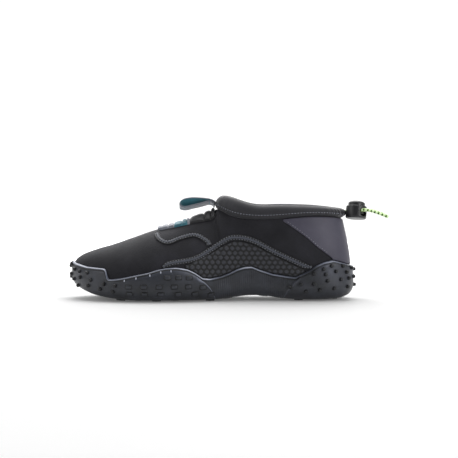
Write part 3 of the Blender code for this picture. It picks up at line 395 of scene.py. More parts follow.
lock_line = np.linspace(0, 1, 7)
for name, offset, start, free in STRANDS:
    held = [lock_turn @ Vector((start + (CORD_LEAVES - start) * s, offset, CORD_LEVEL))
            for s in lock_line]
    route = smooth_line([tuple(p) for p in held] + [tuple(Vector(p) - CENTRE) for p in free], 40)
    fine = smooth_line(route, 150)
    tangents = unit(np.gradient(fine, axis=0))
    side = unit(np.cross(tangents, (0.0, 0.0, 1.0)))
    top = np.cross(side, tangents)
    long = run_lengths(fine)[-1]
    along = np.linspace(0, long * 1000, len(fine))[:, None]  # in millimetres
    from_end = np.clip(np.minimum(along, along[-1] - along) / 0.9, 0, 1)
    close = np.sqrt(1 - (1 - from_end) ** 2)
    angle = np.linspace(0, 2 * math.pi, 21)
    turns = 2 * math.pi * along / BRAID_PITCH
    weave = np.sin(4 * angle + turns) * np.sin(4 * angle - turns)
    radius = ((CORD_DIAMETER / 2 - BRAID_RELIEF + BRAID_RELIEF * weave) * close)[..., None]
    rings = fine[:, None] + radius * (side[:, None] * np.cos(angle)[:, None]
                                      + top[:, None] * np.sin(angle)[:, None])
    cord = tidied(laid("drawcord_end_" + name, rings, False, long, math.pi * CORD_DIAMETER))
    finished(cord, braid, replaces=("drawcord_" + name,))

# Upper. One sock of neoprene, 2.6 mm: foam rubber with knitted jersey on both faces, cut, closed on
# the last and stitched. It is open at the collar and underneath, where the outsole is cemented on.
LENGTH = 0.276
WIDTH = 0.094
HEIGHT = 0.1017
HEEL_X = 0.1375 - CENTRE.x
SHIFT_Y = -CENTRE.y
WALL = 0.0026
GAP = 0.0003
MARGIN = 0.0075
TOE_SLOPE = 0.29
INSTEP_SLOPE = 0.55
COLLAR_TURN = 0.62  # how far the cloth's run below the cuff has turned sideways at the front
UNEVEN, UNEVEN_PER_METRE = 0.00042, 42.0
# Along is a share of the length from the heel, out and inward are shares of the width, and up is a
# share of the height. Station by station, heel to toe: outer side along, out; inner side along,
# out; level of the widest line; fullness above it; fullness at the top.
PLAN = [
    (0.0000, 0.0000, 0.0000, 0.0000, 0.2753, 0.35, 0.35),
    (0.0072, 0.1170, 0.0072, 0.1117, 0.2753, 0.35, 0.35),
    (0.0272, 0.2128, 0.0272, 0.2021, 0.2753, 0.35, 0.35),
    (0.0634, 0.2872, 0.0634, 0.2745, 0.2704, 0.35, 0.35),
    (0.1141, 0.3298, 0.1141, 0.3117, 0.2655, 0.35, 0.35),
    (0.1793, 0.3457, 0.1793, 0.3191, 0.2557, 0.35, 0.35),
    (0.2446, 0.3426, 0.2446, 0.3053, 0.2458, 0.35, 0.35),
    (0.3098, 0.3362, 0.3098, 0.2872, 0.2360, 0.35, 0.35),
    (0.3641, 0.3362, 0.3641, 0.2819, 0.2262, 0.35, 0.35),
    (0.4040, 0.3436, 0.4040, 0.2872, 0.2163, 0.37, 0.34),
    (0.4293, 0.3532, 0.4293, 0.2957, 0.2124, 0.39, 0.33),
    (0.4438, 0.3606, 0.4438, 0.3032, 0.2094, 0.41, 0.33),
    (0.4620, 0.3702, 0.4620, 0.3138, 0.2065, 0.43, 0.37),
    (0.4928, 0.3894, 0.4928, 0.3319, 0.2016, 0.45, 0.42),
    (0.5308, 0.4170, 0.5308, 0.3596, 0.1967, 0.46, 0.45),
    (0.5743, 0.4500, 0.5743, 0.3957, 0.1917, 0.47, 0.47),
    (0.6214, 0.4830, 0.6214, 0.4340, 0.1868, 0.48, 0.49),
    (0.6721, 0.5064, 0.6721, 0.4660, 0.1868, 0.49, 0.50),
    (0.7228, 0.5106, 0.7228, 0.4872, 0.1868, 0.50, 0.51),
    (0.7736, 0.4947, 0.7736, 0.4915, 0.1917, 0.52, 0.52),
    (0.8207, 0.4638, 0.8207, 0.4787, 0.2016, 0.53, 0.52),
    (0.8605, 0.4181, 0.8641, 0.4553, 0.2163, 0.55, 0.52),
    (0.8949, 0.3617, 0.9040, 0.4255, 0.2360, 0.56, 0.51),
    (0.9275, 0.2872, 0.9402, 0.3809, 0.2606, 0.57, 0.50),
    (0.9565, 0.1968, 0.9674, 0.3191, 0.2852, 0.58, 0.50),
    (0.9790, 0.0957, 0.9859, 0.2468, 0.3048, 0.58, 0.50),
    (0.9938, 0.0032, 0.9964, 0.1681, 0.3147, 0.58, 0.50),
    (1.0000, -0.0851, 1.0000, 0.0851, 0.3176, 0.58, 0.50),
]
# Stations 0 to 12, centre back to centre front: collar edge along, out, up; cuff seam the same.
COLLAR = [
    (0.0380, 0.0000, 0.8781, 0.0308, 0.0000, 0.7915),
    (0.0435, 0.0851, 0.8800, 0.0370, 0.0915, 0.7945),
    (0.0616, 0.1596, 0.8850, 0.0554, 0.1702, 0.8063),
    (0.0960, 0.2287, 0.8948, 0.0913, 0.2426, 0.8161),
    (0.1467, 0.2787, 0.9046, 0.1431, 0.2957, 0.8191),
    (0.2083, 0.3011, 0.9095, 0.2065, 0.3223, 0.8063),
    (0.2699, 0.2979, 0.9095, 0.2699, 0.3223, 0.7886),
    (0.3315, 0.2766, 0.9095, 0.3333, 0.3043, 0.7817),
    (0.3822, 0.2394, 0.9390, 0.3877, 0.2713, 0.7896),
    (0.4185, 0.1862, 0.9735, 0.4275, 0.2181, 0.8132),
    (0.4420, 0.1255, 0.9931, 0.4547, 0.1489, 0.8476),
    (0.4554, 0.0638, 0.9990, 0.4732, 0.0766, 0.8712),
    (0.4591, 0.0000, 1.0000, 0.4790, 0.0000, 0.8781),
]
# Ridge of the vamp from the cuff seam to the top of the toe: along, inward, up.
RIDGE = [
    (0.4790, 0.0000, 0.8781), (0.5091, 0.0021, 0.8476), (0.5453, 0.0053, 0.8112),
    (0.5851, 0.0106, 0.7699), (0.6286, 0.0181, 0.7266), (0.6757, 0.0255, 0.6952),
    (0.7228, 0.0330, 0.6608), (0.7699, 0.0404, 0.6126), (0.8134, 0.0468, 0.5733),
    (0.8478, 0.0511, 0.5408), (0.8714, 0.0532, 0.5202),
]
# Middle line of the outsole's base: along, inward.
CENTRE_LINE = [
    (0.115, -0.009), (0.310, -0.024), (0.620, -0.024), (0.720, -0.012), (0.820, 0.008),
    (0.872, 0.025),
]
# Outsole base: along, level of its underside, thickness.
UNDERSIDE = [
    (0.0000, 0.0462, 0.0915), (0.0236, 0.0295, 0.0915), (0.0525, 0.0167, 0.0915),
    (0.0888, 0.0118, 0.0915), (0.1793, 0.0118, 0.0915), (0.2156, 0.0167, 0.0875),
    (0.2518, 0.0285, 0.0836), (0.2953, 0.0462, 0.0777), (0.3424, 0.0541, 0.0738),
    (0.3895, 0.0482, 0.0718), (0.4330, 0.0324, 0.0698), (0.4764, 0.0187, 0.0679),
    (0.5236, 0.0128, 0.0649), (0.5779, 0.0118, 0.0620), (0.7228, 0.0118, 0.0620),
    (0.7663, 0.0128, 0.0620), (0.8134, 0.0196, 0.0620), (0.8678, 0.0344, 0.0620),
    (0.9040, 0.0501, 0.0620), (0.9330, 0.0718, 0.0620), (0.9583, 0.0983, 0.0600),
    (0.9746, 0.1209, 0.0580), (0.9982, 0.1642, 0.0561),
]
# Stations of the collar's front and of the toe; rows of the widest line and of the top.
FRONT, LAST, LOW, ROWS = 12, 27, 3, 9
ROUND = 2 * LAST
KNOTS = range(-4, ROUND + 5)


def spot(around):
    """Station and side of a place around the shoe, outer side first."""
    around = np.mod(around, ROUND)
    outer = around <= LAST
    return np.where(outer, around, ROUND - around), np.where(outer, -1.0, 1.0)


def plan_loop(column, sign):
    """One plan column around the whole shoe, wrapped past both ends."""
    loop = [row[column] * sign for row in PLAN] + [row[column + 2] for row in PLAN[-2:0:-1]]
    return loop[-4:] + loop + loop[:5]


def widest(around):
    """Points of the widest line."""
    station, _ = spot(around)
    around = np.mod(around, ROUND)
    x = HEEL_X - spline(KNOTS, plan_loop(0, 1), around) * LENGTH
    y = SHIFT_Y + spline(KNOTS, plan_loop(1, -1), around) * WIDTH
    z = spline(range(LAST + 1), [row[4] for row in PLAN], station) * HEIGHT
    return np.stack((x, y, z), axis=-1)


def collar_point(around, first):
    """Points of the collar edge (first 0) or of the cuff seam (first 3)."""
    station, side = spot(around)
    rows = COLLAR[:0:-1] + COLLAR + COLLAR[-2::-1]
    signs = [-1] * FRONT + [1] * (FRONT + 1) + [-1] * FRONT
    knots = range(-FRONT, 2 * FRONT + 1)
    along, up = (spline(knots, [r[first + i] for r in rows], station) for i in (0, 2))
    out = spline(knots, [r[first + 1] * s for r, s in zip(rows, signs)], station)
    return np.stack((HEEL_X - along * LENGTH, SHIFT_Y + side * out * WIDTH, up * HEIGHT), axis=-1)


def ridge_point(station):
    """Points of the vamp's ridge, which ends on top of the toe."""
    at = np.clip(station - FRONT, 0, len(RIDGE) - 1)
    along, out, up = (spline(range(len(RIDGE)), [r[i] for r in RIDGE], at) for i in range(3))
    return np.stack((HEEL_X - along * LENGTH, SHIFT_Y + out * WIDTH, up * HEIGHT), axis=-1)


def share_of(x):
    """Share of the length at x."""
    return (HEEL_X - x) / LENGTH


def centre_point(around):
    """Middle of the outsole's base beside a place: x, y."""
    station, _ = spot(around)
    x = (widest(station)[..., 0] + widest(-station)[..., 0]) / 2
    along = np.clip(share_of(x), CENTRE_LINE[0][0], CENTRE_LINE[-1][0])
    inward = np.interp(along, *zip(*CENTRE_LINE))
    return np.stack((HEEL_X - along * LENGTH, SHIFT_Y + inward * WIDTH), axis=-1)


def base_level(x):
    """Level of the outsole's underside."""
    return spline([r[0] for r in UNDERSIDE], [r[1] for r in UNDERSIDE], share_of(x)) * HEIGHT


def base_thickness(x):
    """Thickness of the outsole's base."""
    return spline([r[0] for r in UNDERSIDE], [r[2] for r in UNDERSIDE], share_of(x)) * HEIGHT


def bezier(a, b, c, d, share):
    """Cubic curves, one per column, at their shares."""
    s = share[..., None]
    a, b, c, d = (p[:, None, :] for p in (a, b, c, d))
    return (1 - s) ** 3 * a + 3 * (1 - s) ** 2 * s * b + 3 * (1 - s) * s ** 2 * c + s ** 3 * d


def drawn_skin(around, level):
    """Outer face of the upper: level 0 is underneath, 3 the widest line, 9 ridge or cuff seam."""
    station, side = spot(around)
    wide, middle = widest(around), centre_point(around)
    inward = unit(np.concatenate((middle - wide[:, :2], np.zeros((len(wide), 1))), axis=1))
    foot = wide + inward * MARGIN
    foot[:, 2] = base_level(foot[:, 0]) + base_thickness(foot[:, 0]) + GAP
    drop = np.zeros_like(wide)
    drop[:, 2] = (wide[:, 2] - foot[:, 2]) * 0.55
    lower = bezier(foot, foot - inward * MARGIN * 0.62, wide - drop, wide,
                   np.clip(level / LOW, 0, 1))
    fullness, crown = (spline(range(LAST + 1), [r[i] for r in PLAN], station) for i in (5, 6))
    seam = collar_point(around, 3)
    down = unit(seam - collar_point(around, 0))
    turn = np.clip((station - 7.5) / 4.5, 0, 1)
    turn = (COLLAR_TURN * turn * turn * (3 - 2 * turn))[:, None]
    across = np.stack((np.zeros_like(side), side, np.zeros_like(side)), axis=-1)
    down = unit(down * (1 - turn) + across * turn)
    back = seam + down * (crown * np.linalg.norm(wide - seam, axis=1))[:, None]
    ridge = ridge_point(station)
    across = (wide - ridge) * (1, 1, 0)
    fore = ridge + across * crown[:, None]
    fall = np.clip((station - FRONT) / 5.0, 0, 1)
    fall = INSTEP_SLOPE * (1 - fall * fall * (3 - 2 * fall))
    fore[:, 2] += (TOE_SLOPE * (fore[:, 0] - ridge[:, 0])
                   - fall * np.linalg.norm(across, axis=1) * crown)
    behind = (station <= FRONT)[:, None]
    top, second = np.where(behind, seam, ridge), np.where(behind, back, fore)
    rise = np.zeros_like(wide)
    rise[:, 2] = fullness * (top[:, 2] - wide[:, 2])
    upper = bezier(wide, wide + rise, second, top, np.clip((level - LOW) / (ROWS - LOW), 0, 1))
    return np.where((level <= LOW)[..., None], lower, upper)


def skin(around, level):
    """That face, its columns averaged where quarter meets vamp so that no crease stands there."""
    around = np.asarray(around, float)
    level = np.broadcast_to(np.asarray(level, float), (len(around), np.shape(level)[-1]))
    reach = 1.5 * np.exp(-((spot(around)[0] - FRONT) / 1.1) ** 2)
    shares = ((-1.0, 1), (-0.67, 2), (-0.33, 3), (0.0, 3), (0.33, 3), (0.67, 2), (1.0, 1))
    mean = sum(part * drawn_skin(around + reach * way, level) for way, part in shares) / 15
    blend = (np.clip((8.8 - level) / 1.4, 0, 1) * np.clip((level - LOW) / 1.0, 0, 1))[..., None]
    return drawn_skin(around, level) * (1 - blend) + mean * blend


def skin_out(around, level, step=0.04):
    """Outward directions of the upper's face."""
    around = np.asarray(around, float)
    level = np.broadcast_to(np.asarray(level, float), (len(around), np.shape(level)[-1]))
    rise = (skin(around, np.clip(level + step, 0, ROWS))
            - skin(around, np.clip(level - step, 0, ROWS)))
    ahead = skin(around + step, level) - skin(around - step, level)
    return unit(np.cross(rise, ahead))


def softness(points, size, per_metre):
    """Slow unevenness of a soft material, in metres."""
    flat = points.reshape(-1, 3)
    made = [noise.noise(Vector(p) * per_metre) for p in flat]
    return (np.array(made) * size).reshape(points.shape[:-1])


# Knitted jersey on foam rubber: a matt, nearly black face with a fine knit grain. Its stitches are
# 0.5 mm apart on the real cloth; drawn at 0.9 mm so that they show.
jersey, tree, shader = material("knitted_neoprene_jersey", 0.72, 0.15, 0.08)
grain = add(tree, "ShaderNodeTexVoronoi", {
    "Vector": add(tree, "ShaderNodeTexCoord").outputs["Object"], "Scale": 1100.0})
tone = mottle(tree, 38.0, 5.0)
painted(tree, shader, tone, [(0.25, "1e1e22"), (0.5, "252529"), (0.75, "2d2d33")])
bumped(tree, shader, grain.outputs["Distance"], 0.00022, 0.8,
       bumped(tree, shader, mottle(tree, 260.0), 0.0002, 0.5))
# Brushed jersey lining: matt and a little furry where light grazes it.
lining, tree, shader = material("jersey_lining", 0.9, 0.2, 0.4)
painted(tree, shader, mottle(tree, 900.0), [(0.3, "1d1d20"), (0.7, "2a2a2e")])
bumped(tree, shader, mottle(tree, 1400.0), 0.0003)

COLUMNS_PER_STATION = 6
GIRTH, GIRTH_OVER = 0.62, 0.11  # cloth around the foot and from sole to ridge
around = np.arange(0, ROUND, 1 / COLUMNS_PER_STATION)
levels = np.concatenate((np.linspace(0, LOW, 10), np.linspace(LOW, ROWS, 37)[1:]))
body = skin(around, levels)
face_out = skin_out(around, levels)
fade = np.clip((levels - LOW) / 2.0, 0, 1) * np.clip(ROWS - levels, 0, 1)
body += face_out * (softness(body, UNEVEN, UNEVEN_PER_METRE) * fade)[..., None]
sock = laid("upper_sock", body, True, GIRTH, GIRTH_OVER)
back = np.arange(-FRONT, FRONT + 0.01, 1 / COLUMNS_PER_STATION)
seam, edge = collar_point(back, 3), collar_point(back, 0)
band = seam[:, None] + (edge - seam)[:, None] * np.linspace(0, 1, 7)[None, :, None]
collar = laid("collar_band", band, False, 0.26, 0.012)
only(sock)
collar.select_set(True)
bpy.ops.object.join()
tidied(sock, 0.00003)
ridge_start, toe_top = (Vector(p) for p in ridge_point(np.array([12.6, 22.0])))


def on_crest(place):
    """Whether a point of the sock lies by the vamp's ridge or on top of the toe."""
    crest = np.interp(share_of(place.x), [r[0] for r in RIDGE], [r[2] for r in RIDGE]) * HEIGHT
    return bool((place.z > crest - 0.006 and place.x < ridge_start.x)
                or (place - toe_top).length < 0.012)


def edit(piece, chosen, operator, **settings):
    """Runs an edit-mode operator on the points that are chosen by their place."""
    only(piece)
    bpy.ops.object.mode_set(mode="EDIT")
    bpy.ops.mesh.select_all(action="DESELECT")
    bpy.ops.object.mode_set(mode="OBJECT")
    picked = [chosen(point.co) for point in piece.data.vertices]
    for point, pick in zip(piece.data.vertices, picked):
        point.select = pick
    for part in (*piece.data.edges, *piece.data.polygons):
        part.select = all(picked[i] for i in part.vertices)
    bpy.ops.object.mode_set(mode="EDIT")
    operator(**settings)
    bpy.ops.object.mode_set(mode="OBJECT")


edit(sock, on_crest, bpy.ops.mesh.vertices_smooth, factor=0.5, repeat=14)
skin_tree = BVHTree.FromObject(sock, bpy.context.evaluated_depsgraph_get())
wall = sock.modifiers.new("wall", "SOLIDIFY")
wall.thickness, wall.offset = WALL, -1.0
wall.use_even_offset = wall.use_quality_normals = True
wall.material_offset = 1
sock.data.materials.append(jersey)
sock.data.materials.append(lining)
only(sock)
bpy.ops.object.modifier_apply(modifier="wall")
finished(sock, None, replaces=("upper",))


def near_skin(point):
    """Nearest point of the upper's outer face and its direction."""
    place, normal, _, _ = skin_tree.find_nearest(Vector(point))
    return np.array(place), np.array(normal)


def smooth_out(point, reach=0.002):
    """Outward direction of the upper averaged around a point."""
    total = np.zeros(3)
    for step in ((0, 0, 0), (1, 0, 0), (-1, 0, 0), (0, 0, 1), (0, 0, -1), (0, 1, 0), (0, -1, 0)):
        total += near_skin(point + np.array(step) * reach)[1]
    return total / np.linalg.norm(total)


# Outsole. One compression moulding in grey rubber: base, thick forefoot and heel lobes that wrap up
# the side, a toe cap, a thinner ribbed band at the arch, and a bead along the whole top edge.
RUBBER_ARCH = 0.0021
RUBBER_LOBE = 0.0034
RUBBER_TOE = 0.0022
RUBBER_LIP = 0.0016
BEAD = 0.0005
BEAD_WIDTH = 0.0013
BEAD_BELOW_TOP = 0.0009
GROOVE = 0.0004
GROOVE_BELOW_TOP = 0.0024
LOBE_EDGE = 0.00035
LOBE_SLOPE = 0.0006  # half the width over which a lobe rises from the thin side
# How bright the bead's painted highlight is: along, amount.
BEAD_HIGHLIGHT = [
    (0.00, 0.35), (0.07, 0.75), (0.14, 0.30), (0.19, 0.35), (0.25, 0.75), (0.37, 0.95),
    (0.43, 0.60), (0.47, 0.45), (0.52, 1.10), (0.60, 1.10), (0.66, 0.70), (0.75, 0.55),
    (0.86, 0.60), (0.875, 1.15), (0.93, 1.10), (1.00, 1.05),
]
FINE_RIB = 0.00208
FINE_RIB_HEIGHT = 0.00032
# Top edge of the outsole's side, and the upper edge of its thick lobes: along, up.
SIDE_TOP = [
    (0.0000, 0.3353), (0.0163, 0.3491), (0.0344, 0.3668), (0.0670, 0.3923),
    (0.0996, 0.3746), (0.1286, 0.3412), (0.1467, 0.3038), (0.1757, 0.2655),
    (0.2011, 0.2340), (0.2373, 0.2448), (0.2808, 0.2635), (0.3243, 0.3019),
    (0.3533, 0.3343), (0.3786, 0.3304), (0.4076, 0.3078), (0.4348, 0.2734),
    (0.4620, 0.2439), (0.5054, 0.2222), (0.5308, 0.2281), (0.5598, 0.2822),
    (0.5851, 0.3127), (0.6214, 0.3284), (0.6576, 0.3245), (0.6866, 0.3097),
    (0.7228, 0.2802), (0.7772, 0.2507), (0.8134, 0.2301), (0.8460, 0.2183),
    (0.8620, 0.2183), (0.8714, 0.3048), (0.8786, 0.3127), (0.9402, 0.3245),
    (0.9801, 0.3461), (1.0000, 0.3589),
]
LOBE_TOP = [
    (0.0000, 0.3265), (0.0670, 0.3825), (0.1286, 0.3304), (0.1757, 0.2557),
    (0.1884, 0.2270), (0.2025, 0.1980), (0.2192, 0.1560), (0.2446, 0.1082),
    (0.2721, 0.0816), (0.3359, 0.0760), (0.4330, 0.0640), (0.4656, 0.0620),
    (0.4801, 0.0680), (0.4946, 0.1013), (0.5054, 0.1416), (0.5236, 0.1867),
    (0.5417, 0.2221), (0.5598, 0.2674), (0.5851, 0.3029), (0.6214, 0.3186),
    (0.6576, 0.3147), (0.7228, 0.2704), (0.7772, 0.2409), (0.8460, 0.2085),
    (0.8620, 0.2085), (0.8714, 0.2950), (0.9402, 0.3147), (1.0000, 0.3491),
]


def height_of(table, along, blur=0.004):
    """Level of a side-view line, with its corners rounded."""
    knots, ups = zip(*sorted(table))
    shifts = np.linspace(-blur, blur, 9)
    return sum(np.interp(np.asarray(along) + s, knots, ups) for s in shifts) / 9 * HEIGHT


def on_base(middle, rim, share, above):
    """Row of spots from the base's middle line to a rim, raised by a function of their x."""
    spots = middle + (rim - middle) * share
    return np.column_stack((spots, base_level(spots[:, 0]) + above(spots[:, 0])))


def marked(piece, name, values):
    """Writes a number for each point of a piece, for its material to read."""
    piece.data.attributes.new(name, "FLOAT", "POINT").data.foreach_set(
        "value", np.asarray(values).T.astype(np.float32).ravel())


def level_at(around, height):
    """Row level at which each column reaches a height."""
    tries = np.linspace(0, ROWS, 361)
    z = skin(around, tries)[:, :, 2]
    hit = np.argmax(z >= height[:, None], axis=1)
    hit = np.clip(hit, 1, len(tries) - 1)
    rows = np.arange(len(z))
    low, high = z[rows, hit - 1], z[rows, hit]
    part = np.clip((height - low) / np.maximum(high - low, 1e-9), 0, 1)
    return tries[hit - 1] + part * (tries[1] - tries[0])


def smoothstep(value, low, high):
    """Smooth rise from 0 to 1 between two values."""
    t = np.clip((value - low) / (high - low), 0, 1)
    return t * t * (3 - 2 * t)


ring_line = np.arange(0, ROUND, 0.02)
ring_points = widest(ring_line)
ring_along = share_of(widest(np.minimum(ring_line, ROUND - ring_line))[:, 0])
pace = np.where((ring_along > 0.19) & (ring_along < 0.53), 0.00052, 0.0011)
pace = np.where((ring_along > 0.85) & (ring_along < 0.885), 0.00045, pace)
steps = np.linalg.norm(np.roll(ring_points, -1, axis=0) - ring_points, axis=1) / pace
count = int(steps.sum())
around = np.interp(np.arange(count) / count * steps.sum(), np.append(0, np.cumsum(steps)),
                   np.append(ring_line, ROUND))
station, side = spot(around)
along = share_of(widest(station)[:, 0])
top = level_at(around, height_of(SIDE_TOP, along))
lobe = np.minimum(level_at(around, height_of(LOBE_TOP, along)), top - 0.12)
e = 0.15
metres = np.linalg.norm(skin(around, (top + e)[:, None]) - skin(around, (top - e)[:, None]),
                        axis=2)[:, 0] / (2 * e)
# Rows of the side: up to the lobe's edge, millimetres about it, up to the bead, millimetres below
# the top.
below = [lobe * (k / 16) * 0.96 for k in range(16)]
about = [lobe + mm * 0.001 / metres for mm in (-1.0, -0.7, -0.4, -0.15, 0.1, 0.35, 0.6)]
between = [lobe + (top - lobe) * k / 11 for k in range(1, 11)]
crest = [top - mm * 0.001 / metres for mm in (
    3.4, 2.9, 2.5, 2.1, 1.8, 1.5, 1.25, 1.0, 0.8, 0.6, 0.42, 0.25, 0.12, 0.04, 0.0)]
outer_levels = np.stack(below + about + between + crest, axis=1)
outer_levels = np.sort(np.clip(outer_levels, 0, top[:, None]), axis=1)
points = skin(around, outer_levels)
outward = skin_out(around, outer_levels)
foot = points[:, 0]
rise = smoothstep(outer_levels, 0.0, LOW)
thick = base_thickness(foot[:, 0])[:, None]
lobe_thick = np.interp(station, (20.9, 21.3), (RUBBER_LOBE, RUBBER_TOE))[:, None]
arch_thick = np.where(station < 21.2, RUBBER_ARCH, RUBBER_TOE - GAP)[:, None]
below_top = (top[:, None] - outer_levels) * metres[:, None]
below_lobe = (lobe[:, None] - outer_levels) * metres[:, None]
in_lobe = smoothstep(below_lobe, -LOBE_SLOPE, LOBE_SLOPE)
depth = thick * (1 - rise) + (arch_thick + (lobe_thick - arch_thick) * in_lobe) * rise
lip = np.clip(1 - below_top / 0.0011, 0, 1)
depth = (depth - RUBBER_LIP) * (1 - lip) + RUBBER_LIP
depth *= np.sqrt(np.clip(1 - np.clip(1 - below_top / 0.0009, 0, 1) ** 2 * 0.75, 0, 1))
bead = np.exp(-((below_top - BEAD_BELOW_TOP) / (BEAD_WIDTH / 2)) ** 2)
groove = np.exp(-((below_top - GROOVE_BELOW_TOP) / 0.0006) ** 2)
edge_of_lobe = np.exp(-((below_lobe - 0.0008) / 0.0009) ** 2) * (below_top > 0.003)
arch = (smoothstep(along, 0.200, 0.222) * (1 - smoothstep(along, 0.478, 0.498)))[:, None]
arch = arch * (1 - in_lobe) * smoothstep(below_top, 0.0016, 0.0028)
rib = (0.5 + 0.5 * np.cos(2 * np.pi * along * LENGTH / FINE_RIB))[:, None] * FINE_RIB_HEIGHT
depth = (depth + bead * BEAD - groove * GROOVE + edge_of_lobe * LOBE_EDGE
         + arch * (rib - FINE_RIB_HEIGHT * 0.3))
outer_face = points + outward * (GAP + depth)[..., None]
tip = points[:, -1:] + outward[:, -1:] * GAP
middle = centre_point(around)
under = [on_base(middle, foot[:, :2], share, np.zeros_like) for share in (0.0, 0.35, 0.7, 0.9)]
inner_levels = top[:, None] * np.linspace(1, 0, 9)[None, :]
inner_face = skin(around, inner_levels) + skin_out(around, inner_levels) * GAP
floor = [on_base(middle, foot[:, :2], share, base_thickness) for share in (0.7, 0.35, 0.0)]
section = np.concatenate((np.stack(under, axis=1), outer_face, tip, inner_face,
                          np.stack(floor, axis=1)), axis=1)
# Painted highlight on the bead and the lobes' edges, painted shade in the groove, and painted light
# high on the lobes where they face the light.
highlight_strength = np.interp(along, *zip(*BEAD_HIGHLIGHT))[:, None]
painted_lighting = bead * highlight_strength + edge_of_lobe * np.where(along < 0.35, 0.25, 0.80)[:, None] - groove * 0.30
painted_lighting += (0.20 * smoothstep(along, 0.16, 0.09)[:, None] * smoothstep(points[..., 2], 0.012, 0.030)
         + 0.14 * (smoothstep(along, 0.48, 0.52) * smoothstep(along, 0.68, 0.60))[:, None]
         * smoothstep(points[..., 2], 0.014, 0.026))
# The topmost rows, the lip, carry the painted highlight too.
painted_lighting[:, -6:] = highlight_strength * 0.9
painted_lighting = np.concatenate((np.zeros((count, 4)), painted_lighting,
                       np.zeros((count, section.shape[1] - 4 - outer_face.shape[1]))), axis=1)
sole = laid("outsole_moulding", section, True, 0.66, 0.12)
marked(sole, "painted_light_shade", np.concatenate((painted_lighting, painted_lighting[:1])))
tidied(sole)

# Compression-moulded rubber: dark grey and half matt; pale violet grey where a highlight is painted
# on, near black where shade is painted on.
rubber, tree, shader = material("moulded_grey_rubber", 0.42, 0.45)
light_shade = add(tree, "ShaderNodeAttribute", attribute_name="painted_light_shade").outputs["Fac"]
light_shade = add(tree, "ShaderNodeMath", {0: light_shade, 1: 0.72}, operation="MULTIPLY").outputs[0]
tone = add(tree, "ShaderNodeMath", {0: mottle(tree, 55.0, 6.0), 1: 0.45},
           operation="MULTIPLY")
tone = add(tree, "ShaderNodeMath", {0: tone.outputs[0], 1: light_shade}, operation="ADD").outputs[0]
painted(tree, shader, tone, [
    (0.0, "0d0e10"), (0.16, "23252a"), (0.40, "3b3e48"), (0.75, "767b8b"), (1.0, "c4c8d6")])
# The mould's spark-eroded face leaves a grain of about 0.3 mm; drawn at 0.5 mm.
bumped(tree, shader, mottle(tree, 2000.0, 2.0), 0.00008, 0.6)
finished(sole, rubber, replaces=("outsole",))
sole_tree = BVHTree.FromObject(sole, bpy.context.evaluated_depsgraph_get())

# Studs, pads and pegs. They are moulded in one with the outsole: round tapered studs around toe
# and heel, blunt pads on the forefoot's side, broad six-sided pegs below that the shoe stands on.
STUD_DIAMETER = 0.0034
STUD_HEIGHT = 0.0026
STUD_ROUND = 0.00055
PAD_LENGTH = 0.0068
PAD_WIDTH = 0.0046
PAD_HEIGHT = 0.0012
PAD_SPREAD = 0.0008  # how much broader a pad is at its foot
PAD_ROUND = 0.0011
PEG_DIAMETER = 0.0100
PEG_PITCH_X = 0.0175
PEG_PITCH_Y = 0.0155
PEG_HEIGHT = 0.0012
PEG_INSET = 0.0035  # least distance from the base's outline
SUNK = 0.0008
# Places on the side: station, up.
TOE_STUDS = [
    (26.4, 0.345), (25.2, 0.295), (24.3, 0.280), (23.3, 0.272), (26.3, 0.243),
    (25.4, 0.200), (24.2, 0.222), (22.9, 0.204), (24.8, 0.142), (23.2, 0.148),
    (21.9, 0.122), (20.6, 0.101), (21.5, 0.172), (20.4, 0.160),
]
HEEL_STUDS = [
    (3.29, 0.342), (2.40, 0.337), (1.20, 0.311), (3.79, 0.311), (2.98, 0.287),
    (2.02, 0.275), (0.70, 0.224), (4.34, 0.268), (3.67, 0.260), (3.56, 0.199),
    (2.60, 0.208), (1.91, 0.134), (5.61, 0.140), (5.05, 0.165), (4.34, 0.171),
    (3.12, 0.124), (4.76, 0.097), (4.00, 0.111), (1.75, 0.215),
]
CENTRE_STUDS = [(0.0, 0.292), (0.0, 0.140), (27.0, 0.318), (27.0, 0.215)]
SIDE_PADS = [
    (19.31, 0.150), (18.25, 0.150), (17.18, 0.150), (16.14, 0.150), (15.10, 0.150),
    (13.95, 0.140), (19.25, 0.083), (18.21, 0.081), (17.07, 0.080), (15.87, 0.080),
    (14.60, 0.080), (13.20, 0.070), (16.61, 0.238), (15.84, 0.238), (15.05, 0.235),
]


def on_sole(station, up, side):
    """Point and direction of the outsole's side at a station and level."""
    around = np.array([station if side < 0 else (ROUND - station) % ROUND])
    wide, middle = widest(around)[0], centre_point(around)[0]
    outward = unit(np.array((wide[0] - middle[0], wide[1] - middle[1], 0.0)))
    start = np.array((middle[0], middle[1], up * HEIGHT)) + outward * 0.15
    place, normal, _, _ = sole_tree.ray_cast(Vector(start), Vector(-outward))
    return place, normal if normal.dot(Vector(outward)) > 0 else -normal


def stand(place, normal, turn):
    """Matrix that stands a piece on a face, its X along turn."""
    up = Vector(normal).normalized()
    across = (Vector(turn) - Vector(turn).dot(up) * up).normalized()
    made = Matrix((across, up.cross(across), up)).transposed().to_4x4()
    made.translation = Vector(place)
    return made


def copies(name, pattern, places, light_shade=None):
    """Copies of one modelled piece at the given places, joined; the pattern is removed."""
    mesh = pattern.data
    base = np.array([v.co[:] for v in mesh.vertices])
    faces = [tuple(p.vertices) for p in mesh.polygons]
    points = np.concatenate([base @ np.array(m)[:3, :3].T + np.array(m)[:3, 3] for m in places])
    made = bpy.data.meshes.new(name)
    made.from_pydata(points.tolist(), [], [tuple(i + k * len(base) for i in f)
                                           for k in range(len(places)) for f in faces])
    bpy.data.objects.remove(pattern)
    piece = bpy.data.objects.new(name, made)
    bpy.context.scene.collection.objects.link(piece)
    # If given, this function paints each point with a highlight (above 0) or shade (below 0), by
    # its height in the pattern.
    if light_shade:
        marked(piece, "painted_light_shade", np.tile([light_shade(v[2]) for v in base], len(places)))
    return piece


